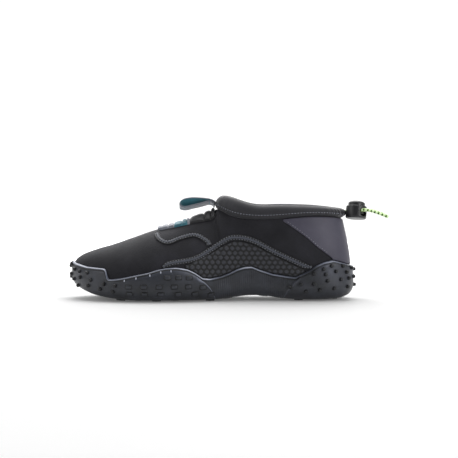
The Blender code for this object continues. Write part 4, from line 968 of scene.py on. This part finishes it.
stud = fresh(bpy.ops.mesh.primitive_cone_add, vertices=18, radius1=STUD_DIAMETER / 2 * 1.25,
             radius2=STUD_DIAMETER / 2 * 0.88, depth=STUD_HEIGHT + SUNK,
             location=(0, 0, (STUD_HEIGHT - SUNK) / 2))
edit(stud, lambda place: place.z > STUD_HEIGHT * 0.9, bpy.ops.mesh.bevel,
     offset=STUD_ROUND, segments=3, affect="EDGES")
places = [stand(*on_sole(s, up, side), (0, 0, 1))
          for s, up in TOE_STUDS + HEEL_STUDS for side in (-1, 1)]
places += [stand(*on_sole(s, up, -1), (0, 0, 1)) for s, up in CENTRE_STUDS]
# Studs painted darker than the rubber, their feet darker still: painted shade.
studs = copies("outsole_studs", stud, places, lambda z: -0.22 if z > STUD_HEIGHT * 0.7 else -0.45)
finished(studs, rubber, angle=40)

pad = fresh(bpy.ops.mesh.primitive_cube_add,
            (PAD_LENGTH + PAD_SPREAD, PAD_WIDTH + PAD_SPREAD, PAD_HEIGHT + SUNK), size=1,
            location=(0, 0, (PAD_HEIGHT - SUNK) / 2))
edit(pad, lambda place: place.z > 0, bpy.ops.transform.resize, value=(0.80, 0.72, 1.0))
rounded = pad.modifiers.new("rounded", "BEVEL")
rounded.width, rounded.segments, rounded.limit_method = PAD_ROUND, 3, "NONE"
bpy.ops.object.modifier_apply(modifier="rounded")
places = [stand(*on_sole(s, up, side), (1, 0, 0)) for s, up in SIDE_PADS for side in (-1, 1)]
# Pads keep the rubber's tone on top and are painted dark at their broad foot: painted shade.
pads = copies("outsole_pads", pad, places, lambda z: 0.05 if z > PAD_HEIGHT * 0.8 else -0.35)
finished(pads, rubber, angle=50)

# Short ribs that hang from the forefoot's bead: along.
TICKS = [0.8045, 0.7630, 0.7140, 0.6760, 0.6400]
TICK_LENGTH = 0.0026
TICK_WIDTH = 0.0011
finer = np.arange(8.0, 24.0, 0.05)
tick = fresh(bpy.ops.mesh.primitive_uv_sphere_add, (TICK_LENGTH, TICK_WIDTH, TICK_WIDTH),
             segments=10, ring_count=7, radius=0.5)
places = []
for at in TICKS:
    s = float(np.interp(at, share_of(widest(finer)[:, 0]), finer))
    up = float(height_of(SIDE_TOP, at)) / HEIGHT - 0.026
    places += [stand(*on_sole(s, up, side), (0, 0, 1)) for side in (-1, 1)]
# The ribs carry the bead's full painted highlight.
ticks = copies("outsole_bead_ribs", tick, places, lambda z: 1.0)
finished(ticks, rubber)

outline = skin(np.arange(0, ROUND, 0.1), np.array([0.0]))[:, 0, :2]


def inside_base(x, y, inset):
    """Whether a spot lies within the base's outline by an inset."""
    crossing = [a[1] + (b[1] - a[1]) * (x - a[0]) / (b[0] - a[0])
                for a, b in zip(outline, np.roll(outline, -1, axis=0))
                if (a[0] - x) * (b[0] - x) <= 0 and a[0] != b[0]]
    return len(crossing) >= 2 and min(crossing) + inset < y < max(crossing) - inset


peg = fresh(bpy.ops.mesh.primitive_cylinder_add, vertices=6, radius=PEG_DIAMETER / 2,
            depth=PEG_HEIGHT + SUNK, location=(0, 0, (PEG_HEIGHT - SUNK) / 2))
edit(peg, lambda place: place.z > 0, bpy.ops.mesh.inset, thickness=0.0018, depth=0.0)
edit(peg, lambda place: place.z > PEG_HEIGHT * 0.9, bpy.ops.mesh.bevel, offset=EDGE_ROUND,
     segments=1, affect="EDGES")
places, row, x = [], 0, HEEL_X - 0.06 * LENGTH
while x > HEEL_X - 0.97 * LENGTH:
    for step in range(-4, 5):
        y = SHIFT_Y + (step + (0.5 if row % 2 else 0.0)) * PEG_PITCH_Y
        if all(inside_base(x + dx, y, PEG_INSET) for dx in (-0.004, 0.0, 0.004)):
            level = float(base_level(x))
            slope = (float(base_level(x + 0.002)) - float(base_level(x - 0.002))) / 0.004
            flat = level < 0.0018
            height = level if flat else PEG_HEIGHT
            turn = stand((x, y, level), (0.0 if flat else slope, 0, -1), (1, 0, 0))
            places.append(turn @ Matrix.Diagonal((1, 1, height / PEG_HEIGHT, 1)))
    x -= PEG_PITCH_X
    row += 1
pegs = copies("outsole_pegs", peg, places, lambda z: 0.0)
finished(pegs, rubber, angle=30)

# Insole. A die-cut sheet of foam with knitted cloth on top, laid loose on the outsole's floor.
INSOLE = 0.0040
INSOLE_GAP = 0.0004
INSOLE_INSET = 0.0024
around = np.arange(0, ROUND, 0.25)
foot = skin(around, np.array([0.0]))[:, 0]
middle = centre_point(around)
reach = foot[:, :2] + unit(middle - foot[:, :2]) * INSOLE_INSET
sheets = []
for lift, inset in ((INSOLE_GAP, 0.0), (INSOLE * 0.5, -0.0004), (INSOLE * 0.9, 0.0),
                    (INSOLE, 0.0010)):
    rim = reach + unit(middle - reach) * inset
    sheets.append([on_base(middle, rim, share, lambda x: base_thickness(x) + lift)
                   for share in (0.0, 0.3, 0.6, 0.85, 1.0)])
section = sheets[0] + [sheets[1][-1], sheets[2][-1]] + sheets[3][::-1]
insole = tidied(laid("insole_sheet", np.stack(section, axis=1), True, 0.6, 0.08))
# Knitted cloth on foam: dark and quite matt.
cloth, tree, shader = material("insole_cloth_on_foam", 0.92, 0.2, 0.3)
painted(tree, shader, mottle(tree, 700.0), [(0.3, "232327"), (0.7, "303035")])
bumped(tree, shader, mottle(tree, 1500.0), 0.0003)
finished(insole, cloth, replaces=("insole",), angle=50)

# Stitches. Lockstitch in bonded nylon thread, each stitch a short pill that lies on its seam.
# Bonded nylon thread: pale grey with a soft shine, so the seams stand out from the dark cloth.
thread, tree, shader = material("bonded_nylon_thread", 0.5, 0.5, 0.2)
painted(tree, shader, mottle(tree, 300.0), [(0.3, "6b6e78"), (0.7, "8a8e9a")])


def stitch_row(name, points, normals, length=0.0014, width=0.00065, pitch=0.0027):
    """Row of stitches along a line that lies on a surface."""
    lengths = run_lengths(points)
    number = int(lengths[-1] / pitch)
    ends = (np.arange(number) + 0.5) * lengths[-1] / number
    spots, ways, ups = (np.stack([np.interp(ends, lengths, c) for c in values.T], axis=1)
                        for values in (points, np.gradient(points, axis=0), normals))
    pill = fresh(bpy.ops.mesh.primitive_uv_sphere_add, (width * 0.45, width / 2, length / 2),
                 segments=8, ring_count=5, radius=1, rotation=(0, math.radians(90), 0))
    places = [stand(p + u * width * 0.12, u, w) for p, u, w in zip(spots, unit(ups), unit(ways))]
    finished(copies(name, pill, places), thread)


# Heel counter. A thin satin film welded around the heel in one piece, its front edges slanting up
# to the cuff, stitched down along them.
PANEL = 0.0009
PANEL_GAP = 0.0004
COUNTER_SEAM = 0.0024
COUNTER_EDGE = [
    (0.0000, 0.2000), (0.0660, 0.2000), (0.0690, 0.4090), (0.0967, 0.4680),
    (0.1246, 0.5250), (0.1551, 0.6010), (0.1859, 0.6640), (0.2192, 0.7280),
    (0.2543, 0.7880),
]


def crossing_level(around, table, drop, start):
    """Row level where each column climbs past a side-view line lowered by a distance."""
    tries = np.linspace(start, ROWS, 481)
    points = skin(around, tries)
    past = points[:, :, 2] >= height_of(table, share_of(points[:, :, 0]), 0.002) - drop
    hit = np.argmax(past, axis=1)
    return np.where(past.any(axis=1), tries[hit], ROWS)


def film(name, around, low, high, rows, thickness, edge, extra=None):
    """Thin closed sheet on the upper, its edges rounded over a width."""
    levels = low[:, None] + (high - low)[:, None] * np.linspace(0, 1, rows)[None, :]
    points, outward = skin(around, levels), skin_out(around, levels)
    fall = np.linalg.norm(np.diff(points, axis=1), axis=2)
    up = np.concatenate((np.zeros((len(around), 1)), np.cumsum(fall, axis=1)), axis=1)
    rim = np.minimum(up, up[:, -1:] - up)
    ahead = run_lengths(points[:, rows // 2])
    rim = np.minimum(rim, np.minimum(ahead, ahead[-1] - ahead)[:, None])
    shape = np.sqrt(np.clip(1 - np.clip(1 - rim / edge, 0, 1) ** 2, 0, 1))
    over = PANEL_GAP + thickness * (0.25 + 0.75 * shape)
    values = np.zeros(rim.shape)
    if extra is not None:
        values = extra(points) * smoothstep(rim, 0.0, 0.0012)
        over = over + values
    top = points + outward * over[..., None]
    under = points + outward * PANEL_GAP
    length, width = ahead[-1], float(up[:, -1].max())
    face = laid(name, top, False, length, width)
    if extra is not None:
        marked(face, "raised", values / values.max())
    back = laid(name + "_back", under, False, length, width)
    pair = np.stack((top, under), axis=2)
    ring = np.concatenate((pair[:, 0], pair[-1, 1:], pair[-2::-1, -1], pair[0, -2::-1]))
    rim_face = laid(name + "_rim", ring, False, length, thickness)
    only(face)
    back.select_set(True)
    rim_face.select_set(True)
    bpy.ops.object.join()
    return tidied(face, 0.000004), top, outward


counter_around = np.arange(-5.85, 5.851, 0.065)
edge = crossing_level(counter_around, COUNTER_EDGE, 0.0, 2.0)
counter_around, edge = counter_around[edge < ROWS - 0.22], edge[edge < ROWS - 0.22]
rubber_top = height_of(SIDE_TOP, share_of(widest(np.abs(counter_around))[:, 0]))
low = np.maximum(edge, level_at(counter_around, rubber_top + 2 * GAP))
high = np.full(len(counter_around), ROWS - 0.08)
low = np.minimum(low, high - 0.17)
counter, face, outward = film("heel_counter_film", counter_around, low, high, 60, PANEL, 0.0009)
# Polyurethane film: dusky violet grey with a satin shine and a slight hammered grain.
satin, tree, shader = material("satin_polyurethane_film", 0.50, 0.35, 0.1)
painted(tree, shader, mottle(tree, 30.0, 5.0), [(0.3, "43414e"), (0.7, "504e5c")])
bumped(tree, shader, mottle(tree, 900.0), 0.0001, 0.7)
finished(counter, satin, replaces=("heel_counter",), angle=60)
fall = np.linalg.norm(np.diff(face, axis=1), axis=2)
fall = np.concatenate((np.zeros((len(face), 1)), np.cumsum(fall, axis=1)), axis=1)
for word, sign in (("outer", -1), ("inner", 1)):
    kept = [k for k in range(len(face)) if fall[k, -1] > COUNTER_SEAM + 0.002
            and sign * counter_around[k] < -3.35]
    line = np.array([[np.interp(COUNTER_SEAM, fall[k], face[k, :, i]) for i in range(3)]
                     for k in kept])
    stitch_row("counter_stitches_" + word, line, outward[kept, 3],
               0.0014, 0.00055)

# Side panels. Embossed film between side binding and outsole: domes 4 mm wide, set in staggered
# rows with grooves between them, on both sides of the foot; the grooves are painted dark as shade.
DOME_PITCH = 0.0056
DOME_WIDTH = 0.0045
DOME_HEIGHT = 0.0007
SIDE_BINDING = [
    (0.6540, 0.3600), (0.5779, 0.3960), (0.5090, 0.4810), (0.4656, 0.5570),
    (0.4185, 0.6120), (0.3859, 0.6080), (0.3424, 0.5750), (0.2953, 0.5070),
    (0.2409, 0.4340), (0.1866, 0.3650), (0.1540, 0.3330),
]
SIDE_BINDING_WIDTH = 0.0055


def domes(points):
    """Height of the embossing at points of the side."""
    x, z = points[..., 0] / DOME_PITCH, points[..., 2] / (DOME_PITCH * 0.80)
    row = np.floor(z)
    best = np.full(x.shape, 9.0)
    for step in (-1, 0, 1):
        shift = 0.5 * np.mod(row + step, 2)
        dx = (x - shift) - np.rint(x - shift)
        dz = (z - row - step - 0.5) * 0.80
        best = np.minimum(best, (np.abs(dx) ** 1.5 + np.abs(dz * 1.08) ** 1.5) ** (1 / 1.5))
    return DOME_HEIGHT * (1 - smoothstep(best * DOME_PITCH, DOME_WIDTH * 0.36, DOME_WIDTH * 0.64))


# Embossed film: half matt, its colour painted from the emboss height: a painted highlight on the
# domes, painted shade, nearly black, in the grooves.
embossed, tree, shader = material("embossed_mesh_film", 0.62, 0.45, 0.1)
raised = add(tree, "ShaderNodeAttribute", attribute_name="raised").outputs["Fac"]
painted(tree, shader, raised, [
    (0.0, "0b0c0e"), (0.35, "16171a"), (0.75, "2a2b31"), (1.0, "34353c")])
bumped(tree, shader, mottle(tree, 1500.0), 0.0002, 0.6)
for word, sign in (("outer", 1), ("inner", -1)):
    side_around = sign * np.arange(4.85, 15.4001, 0.048)[::sign]
    along = share_of(widest(np.abs(side_around))[:, 0])
    low = level_at(side_around, height_of(SIDE_TOP, along) + 2 * GAP)
    high = np.maximum(low + 0.05, crossing_level(
        side_around, SIDE_BINDING, SIDE_BINDING_WIDTH * 0.62 + 2 * GAP, 2.0))
    panel, _, _ = film("side_panel_film_" + word, side_around, low, high, 46, PANEL, 0.0006, domes)
    finished(panel, embossed, replaces=("side_panel_" + word,), angle=60)

# Bindings. Woven tapes, 5.5 and 5 mm wide, sewn over the edges of the panels with a row of
# stitches along each side; their middle stands up as a soft rib.
BINDING_HEIGHT = 0.0013
VAMP_BINDING = [
    (0.6935, 0.6400), (0.6900, 0.6150), (0.6730, 0.5760), (0.6576, 0.5620), (0.6286, 0.5850),
    (0.5924, 0.6180), (0.5612, 0.6340), (0.5326, 0.6060), (0.5120, 0.5660),
    (0.5075, 0.5380),
]
VAMP_BINDING_WIDTH = 0.0050
TAPE_PROFILE = [  # share of the width, height
    (-0.50, 0.25), (-0.48, 0.55), (-0.43, 0.78), (-0.36, 0.72), (-0.31, 0.55), (-0.26, 0.62),
    (-0.20, 0.90), (-0.10, 1.00), (0.0, 1.00),
]
TAPE_SEAM = 0.31


def on_side(along, up, side):
    """Point of the upper's side seen at a place in side view."""
    start = Vector((HEEL_X - along * LENGTH, side * 0.2, up * HEIGHT))
    return np.array(skin_tree.ray_cast(start, Vector((0, -side, 0)))[0])


def ribs(tree, pitch, distortion, detail=2.0):
    """Ribs of a weave or knit across the piece's UV map, that many millimetres apart."""
    map_uv = add(tree, "ShaderNodeUVMap", uv_map="UVMap").outputs["UV"]
    return add(tree, "ShaderNodeTexWave", {
        "Vector": map_uv, "Scale": 0.314 / pitch, "Distortion": distortion, "Detail": detail},
        wave_type="BANDS").outputs["Fac"]


# Woven tape: dark, with a painted highlight on its raised middle and ribs of the weave across it,
# 0.79 mm apart.
woven, tree, shader = material("woven_binding_tape", 0.60, 0.45, 0.3)
weft = ribs(tree, 0.785, 0.6, 1.0)
ribbed = add(tree, "ShaderNodeAttribute", attribute_name="raised").outputs["Fac"]
tone = add(tree, "ShaderNodeMath", {0: weft, 1: 0.25}, operation="MULTIPLY").outputs[0]
tone = add(tree, "ShaderNodeMath", {0: tone, 1: ribbed}, operation="ADD").outputs[0]
painted(tree, shader, tone, [(0.25, "0c0d0f"), (0.55, "1b1c20"), (1.0, "474b57")])
bumped(tree, shader, weft, 0.00025, 0.7)


def wrapped(over, under, ends):
    """Closed skin of an upper and a lower face, each end drawn to a point."""
    loop = np.concatenate((over, under[:, ::-1], over[:, :1]), axis=1)
    first, last = (np.broadcast_to(end, loop[:1].shape) for end in ends)
    return np.concatenate((first, loop, last))


def tape(name, line, side, width, count, replaces, tapered=1.0):
    """Sewn tape along a side-view line, with its two rows of stitches."""
    line = smooth_line(line, count)
    middle = np.array([on_side(a, u, side) for a, u in line])
    for _ in range(6):
        middle[1:-1] = (middle[:-2] + 2 * middle[1:-1] + middle[2:]) / 4
    tangents = unit(np.gradient(middle, axis=0))
    from_end = np.linspace(0, run_lengths(middle)[-1], count)
    from_end = np.minimum(from_end, from_end[-1] - from_end)
    widths = width * (tapered + (1 - tapered) * smoothstep(from_end, 0.0, 0.007))
    profile = TAPE_PROFILE + [(-s, h) for s, h in TAPE_PROFILE[-2::-1]]
    over, under, rows = [], [], {-TAPE_SEAM: ([], []), TAPE_SEAM: ([], [])}
    for place, tangent, here in zip(middle, tangents, widths):
        up = smooth_out(place)
        across = unit(np.cross(up, tangent))
        spots = [near_skin(place + across * here * s)[0] for s, _ in profile]
        ups = [smooth_out(p) for p in spots[::4]]
        ups = [ups[0]] * 3 + [ups[1]] * 3 + [ups[2]] * 5 + [ups[3]] * 3 + [ups[4]] * 3
        over.append([p + n * (PANEL_GAP + BINDING_HEIGHT * h)
                     for p, n, (_, h) in zip(spots, ups, profile)])
        under.append([p + n * PANEL_GAP for p, n in zip(spots, ups)])
        for share, (points, normals) in rows.items():
            k = [s for s, _ in profile].index(share)
            points.append(spots[k] + ups[k] * (PANEL_GAP + BINDING_HEIGHT * 0.62))
            normals.append(ups[k])
    over, under = np.array(over), np.array(under)
    loop = wrapped(over, under, under[[0, -1]].mean(axis=1))
    made = laid(name, loop, False, run_lengths(middle)[-1], width)
    heights = np.array([h for _, h in profile] + [0.0] * len(profile) + [profile[0][1]])
    # Painted highlight on the tape's raised middle: paler the higher the profile stands.
    values = np.tile(np.clip((heights - 0.75) * 3.2, 0, 0.8), (loop.shape[0], 1))
    marked(made, "raised", values)
    finished(tidied(made), woven, replaces=(replaces,), angle=55)
    for word, (points, normals) in zip(("low", "high"), rows.values()):
        stitch_row(name + "_stitches_" + word, np.array(points), np.array(normals))


for side, word in ((-1, "outer"), (1, "inner")):
    tape("side_tape_" + word, [(0.6690, 0.3350)] + SIDE_BINDING + [(0.1420, 0.3290)], side,
         SIDE_BINDING_WIDTH, 150, "side_binding_" + word, 0.42)
    tape("vamp_tape_" + word, VAMP_BINDING, side, VAMP_BINDING_WIDTH, 80, "vamp_binding_" + word)

# Instep strip. A soft moulded strip with cross ribs, in grey, teal and black, sewn along the ridge
# of the vamp from the toe box to the cuff.
STRIP_WIDTH = 0.022
STRIP_BASE = 0.0011
STRIP_RIB = 0.0014
STRIP_RIBS = [
    (0.6923, 0.6765, "grey"), (0.6755, 0.6550, "grey"), (0.6525, 0.6350, "grey"),
    (0.6330, 0.6045, "teal"), (0.6025, 0.5870, "teal"), (0.5855, 0.5785, "grey"),
    (0.5725, 0.5275, "black"), (0.5235, 0.5010, "black"), (0.4985, 0.4850, "black"),
]
STRIP_COLOURS = {
    "grey": ("6d7079", "888c96"), "teal": ("2f6473", "44808e"), "black": ("17171a", "232327")}
alongs = np.linspace(STRIP_RIBS[0][0], STRIP_RIBS[-1][1], 190)
shares = np.linspace(-0.5, 0.5, 25)
crest = spline([r[0] for r in RIDGE], [r[1] for r in RIDGE], alongs) * WIDTH
over, under = [], []
for at, inward in zip(alongs, crest):
    lift = 0.0
    for start, end, _ in STRIP_RIBS:
        if end <= at <= start:
            lift = math.sqrt(max(1 - (abs(2 * (at - end) / (start - end) - 1)) ** 3.0, 0.0))
    top_row, low_row = [], []
    for s in shares:
        ray = Vector((HEEL_X - at * LENGTH, SHIFT_Y + inward + STRIP_WIDTH * s, 0.2))
        place = np.array(skin_tree.ray_cast(ray, Vector((0, 0, -1)))[0])
        rim = math.sqrt(max(1 - max((abs(s) - 0.44) / 0.06, 0.0) ** 2, 0.0))
        normal = smooth_out(place, 0.003)
        thick = (STRIP_BASE + STRIP_RIB * lift) * rim + 0.0001
        top_row.append(place + normal * (PANEL_GAP + thick))
        low_row.append(place + normal * PANEL_GAP)
    over.append(top_row)
    under.append(low_row)
over, under = np.array(over), np.array(under)
loop = wrapped(over, under, under[[0, -1]].mean(axis=1))
strip = tidied(laid("instep_strip_ribs", loop, False, 0.06, 0.05))
finished(strip, None, replaces=("instep_strip",), angle=50)
strip.data.materials.clear()
# Soft moulded rubber: matt, each rib in its own colour, with a fine grain.
for word, (dark, light) in STRIP_COLOURS.items():
    made, tree, shader = material("soft_strip_rubber_" + word, 0.55, 0.45, 0.1)
    painted(tree, shader, mottle(tree, 160.0, 4.0), [(0.3, dark), (0.7, light)])
    bumped(tree, shader, mottle(tree, 1300.0), 0.00012, 0.6)
    strip.data.materials.append(made)
for flat in strip.data.polygons:
    at = share_of(flat.center.x)
    found = [word for start, end, word in STRIP_RIBS if end - 0.0008 <= at <= start + 0.0008]
    flat.material_index = list(STRIP_COLOURS).index(found[0] if found else "black")

# Collar cuff. A tunnel of stretch knit folded over the collar edge and sewn down outside, which
# gathers softly where the drawcord inside it pulls.
CUFF_FABRIC = 0.0013
CUFF_INSIDE = 0.0085
GATHER = 0.0050
GATHER_HEIGHT, GATHER_BEHIND = 0.00010, 0.00085  # all round, and more towards the cord's exit
SEAM_DIP = 0.0006
around = np.arange(-FRONT, FRONT, 0.085)
edges, seams = collar_point(around, 0), collar_point(around, 3)
ways = unit(np.roll(edges, -1, axis=0) - np.roll(edges, 1, axis=0))
runs = run_lengths(edges)
sections, outs = [], []
for k, (edge, seam, way) in enumerate(zip(edges, seams, ways)):
    rise = np.linalg.norm(edge - seam)
    lift = (edge - seam) / rise
    outward = unit(np.cross(lift, way))
    inside = -WALL - 1.6 * GAP
    outer = np.array([
        (0.0006, GAP + CUFF_FABRIC * 0.55), (0.0014, 0.0019), (0.21 * rise, 0.0032),
        (0.50 * rise, 0.0043), (0.79 * rise, 0.0037), (rise + 0.0007, 0.0013),
        (rise + 0.0018, -WALL / 2), (rise + 0.0008, inside - 0.0010),
        (rise - 0.0035, inside - 0.0016), (rise - CUFF_INSIDE, inside - CUFF_FABRIC)])
    outer = smooth_line(outer, 34)
    share = np.linspace(0, 1, 34)
    behind = math.exp(-(around[k] / 2.2) ** 2)
    wrinkle = ((math.sin(2 * math.pi * runs[k] / GATHER + 1.7 * math.sin(runs[k] * 310)) + 0.6)
               * (GATHER_HEIGHT + GATHER_BEHIND * behind))
    wrinkle += noise.noise(Vector(edge) * 75.0) * 0.0007
    outer[:, 1] += wrinkle * np.exp(-((share - 0.22) / 0.20) ** 2)
    outer[:, 1] -= SEAM_DIP * np.exp(-((share - 0.152) / 0.026) ** 2)
    inner = [(rise - CUFF_INSIDE, inside), (rise - 0.0035, inside), (rise + 1.5 * GAP, inside),
             (rise + 1.5 * GAP, 1.5 * GAP), (0.76 * rise, 0.0022), (0.50 * rise, 0.0027),
             (0.24 * rise, 0.0018), (0.0006, 1.2 * GAP), tuple(outer[0])]
    sections.append([seam + lift * a + outward * b for a, b in list(map(tuple, outer)) + inner])
    outs.append(outward)
cuff = laid("collar_cuff_casing", np.array(sections), True, 0.30, 0.045)
# Stretch knit: dark grey, with a soft sheen on its bulge. Its wales run round the casing 0.5 mm
# apart; drawn at 0.9 mm so that they show.
knit, tree, shader = material("stretch_knit_casing", 0.60, 0.3, 0.2)
painted(tree, shader, mottle(tree, 36.0, 5.0), [(0.25, "222225"), (0.75, "303035")])
bumped(tree, shader, ribs(tree, 0.8971, 0.8, 1.0), 0.00012, 0.5)
finished(tidied(cuff), knit, replaces=("collar_cuff",), angle=60)
sections, outs = np.array(sections), np.array(outs)
stitch_row("cuff_stitches", np.concatenate((sections[:, 5], sections[:1, 5])),
           np.concatenate((outs, outs[:1])), 0.0017, 0.0008, 0.0030)

# Pull loop. One satin-woven ribbon, 11 mm wide, folded back on itself and sewn into the cuff's
# front: grey outside, teal inside.
LOOP_WIDTH = 0.011
LOOP_THICKNESS = 0.0012
LOOP_TILT = math.radians(22.0)
LOOP_TWIST = math.radians(31.0)
LOOP_SAG = 0.0012
LOOP_STEPS = 110
# Along, up, from the cuff's front over the tip and back.
LOOP_LINE = [
    (0.4859, 0.9322), (0.4935, 0.9499), (0.5091, 0.9626), (0.5417, 0.9676),
    (0.5743, 0.9656), (0.5978, 0.9538), (0.6120, 0.9282), (0.6109, 0.9007),
    (0.5978, 0.8889), (0.5779, 0.8977), (0.5489, 0.9154), (0.5236, 0.9341),
    (0.5054, 0.9430), (0.4967, 0.9341), (0.4899, 0.9135),
]
line = smooth_line(LOOP_LINE, LOOP_STEPS)
centre = np.column_stack((HEEL_X - line[:, 0] * LENGTH, np.full(LOOP_STEPS, SHIFT_Y),
                          line[:, 1] * HEIGHT))
# The upper run is turned towards the outer side and sags, so that its teal inside shows.
swing = np.sin(np.pi * np.clip((np.arange(LOOP_STEPS) - 6) / 60, 0, 1)) ** 2
centre[:, 2] -= LOOP_SAG * swing
tilts = LOOP_TILT + LOOP_TWIST * swing
broad = np.column_stack((np.zeros(LOOP_STEPS), np.cos(tilts), -np.sin(tilts)))
normals = unit(np.cross(broad, np.gradient(centre, axis=0)))
shares = np.linspace(-0.5, 0.5, 17)
thin = np.sqrt(np.clip(1 - (np.clip(np.abs(shares) - 0.44, 0, 1) / 0.06) ** 2, 0, 1))
faces = [centre[:, None] + broad[:, None] * LOOP_WIDTH * shares[None, :, None]
         + (normals[:, None] * sign * LOOP_THICKNESS / 2) * (0.15 + 0.85 * thin)[:, None]
         for sign in (-1, 1)]
ribbon = laid("pull_loop_ribbon", wrapped(*faces, centre[[0, -1]]), False,
              run_lengths(centre)[-1], 2 * LOOP_WIDTH)
ribbon.data.materials.clear()
# Satin-woven ribbon: silky, with fine ribs of the weft across it, 0.63 mm apart.
for word, dark, light in (("grey", "63666f", "8e929d"), ("teal", "2b5f6c", "427b89")):
    made, tree, shader = material("satin_ribbon_" + word, 0.45, 0.5, 0.3)
    weft = ribs(tree, 0.628, 0.4)
    painted(tree, shader, weft, [(0.1, dark), (0.9, light)])
    bumped(tree, shader, weft, 0.00015, 0.6)
    ribbon.data.materials.append(made)
finished(tidied(ribbon), None, replaces=("pull_loop",), angle=50)
heart = Vector((HEEL_X - 0.555 * LENGTH, SHIFT_Y, 0.932 * HEIGHT))
for flat in ribbon.data.polygons:
    inside = flat.normal.dot(heart - flat.center) > 0
    flat.material_index = int(inside and share_of(flat.center.x) > 0.5054)
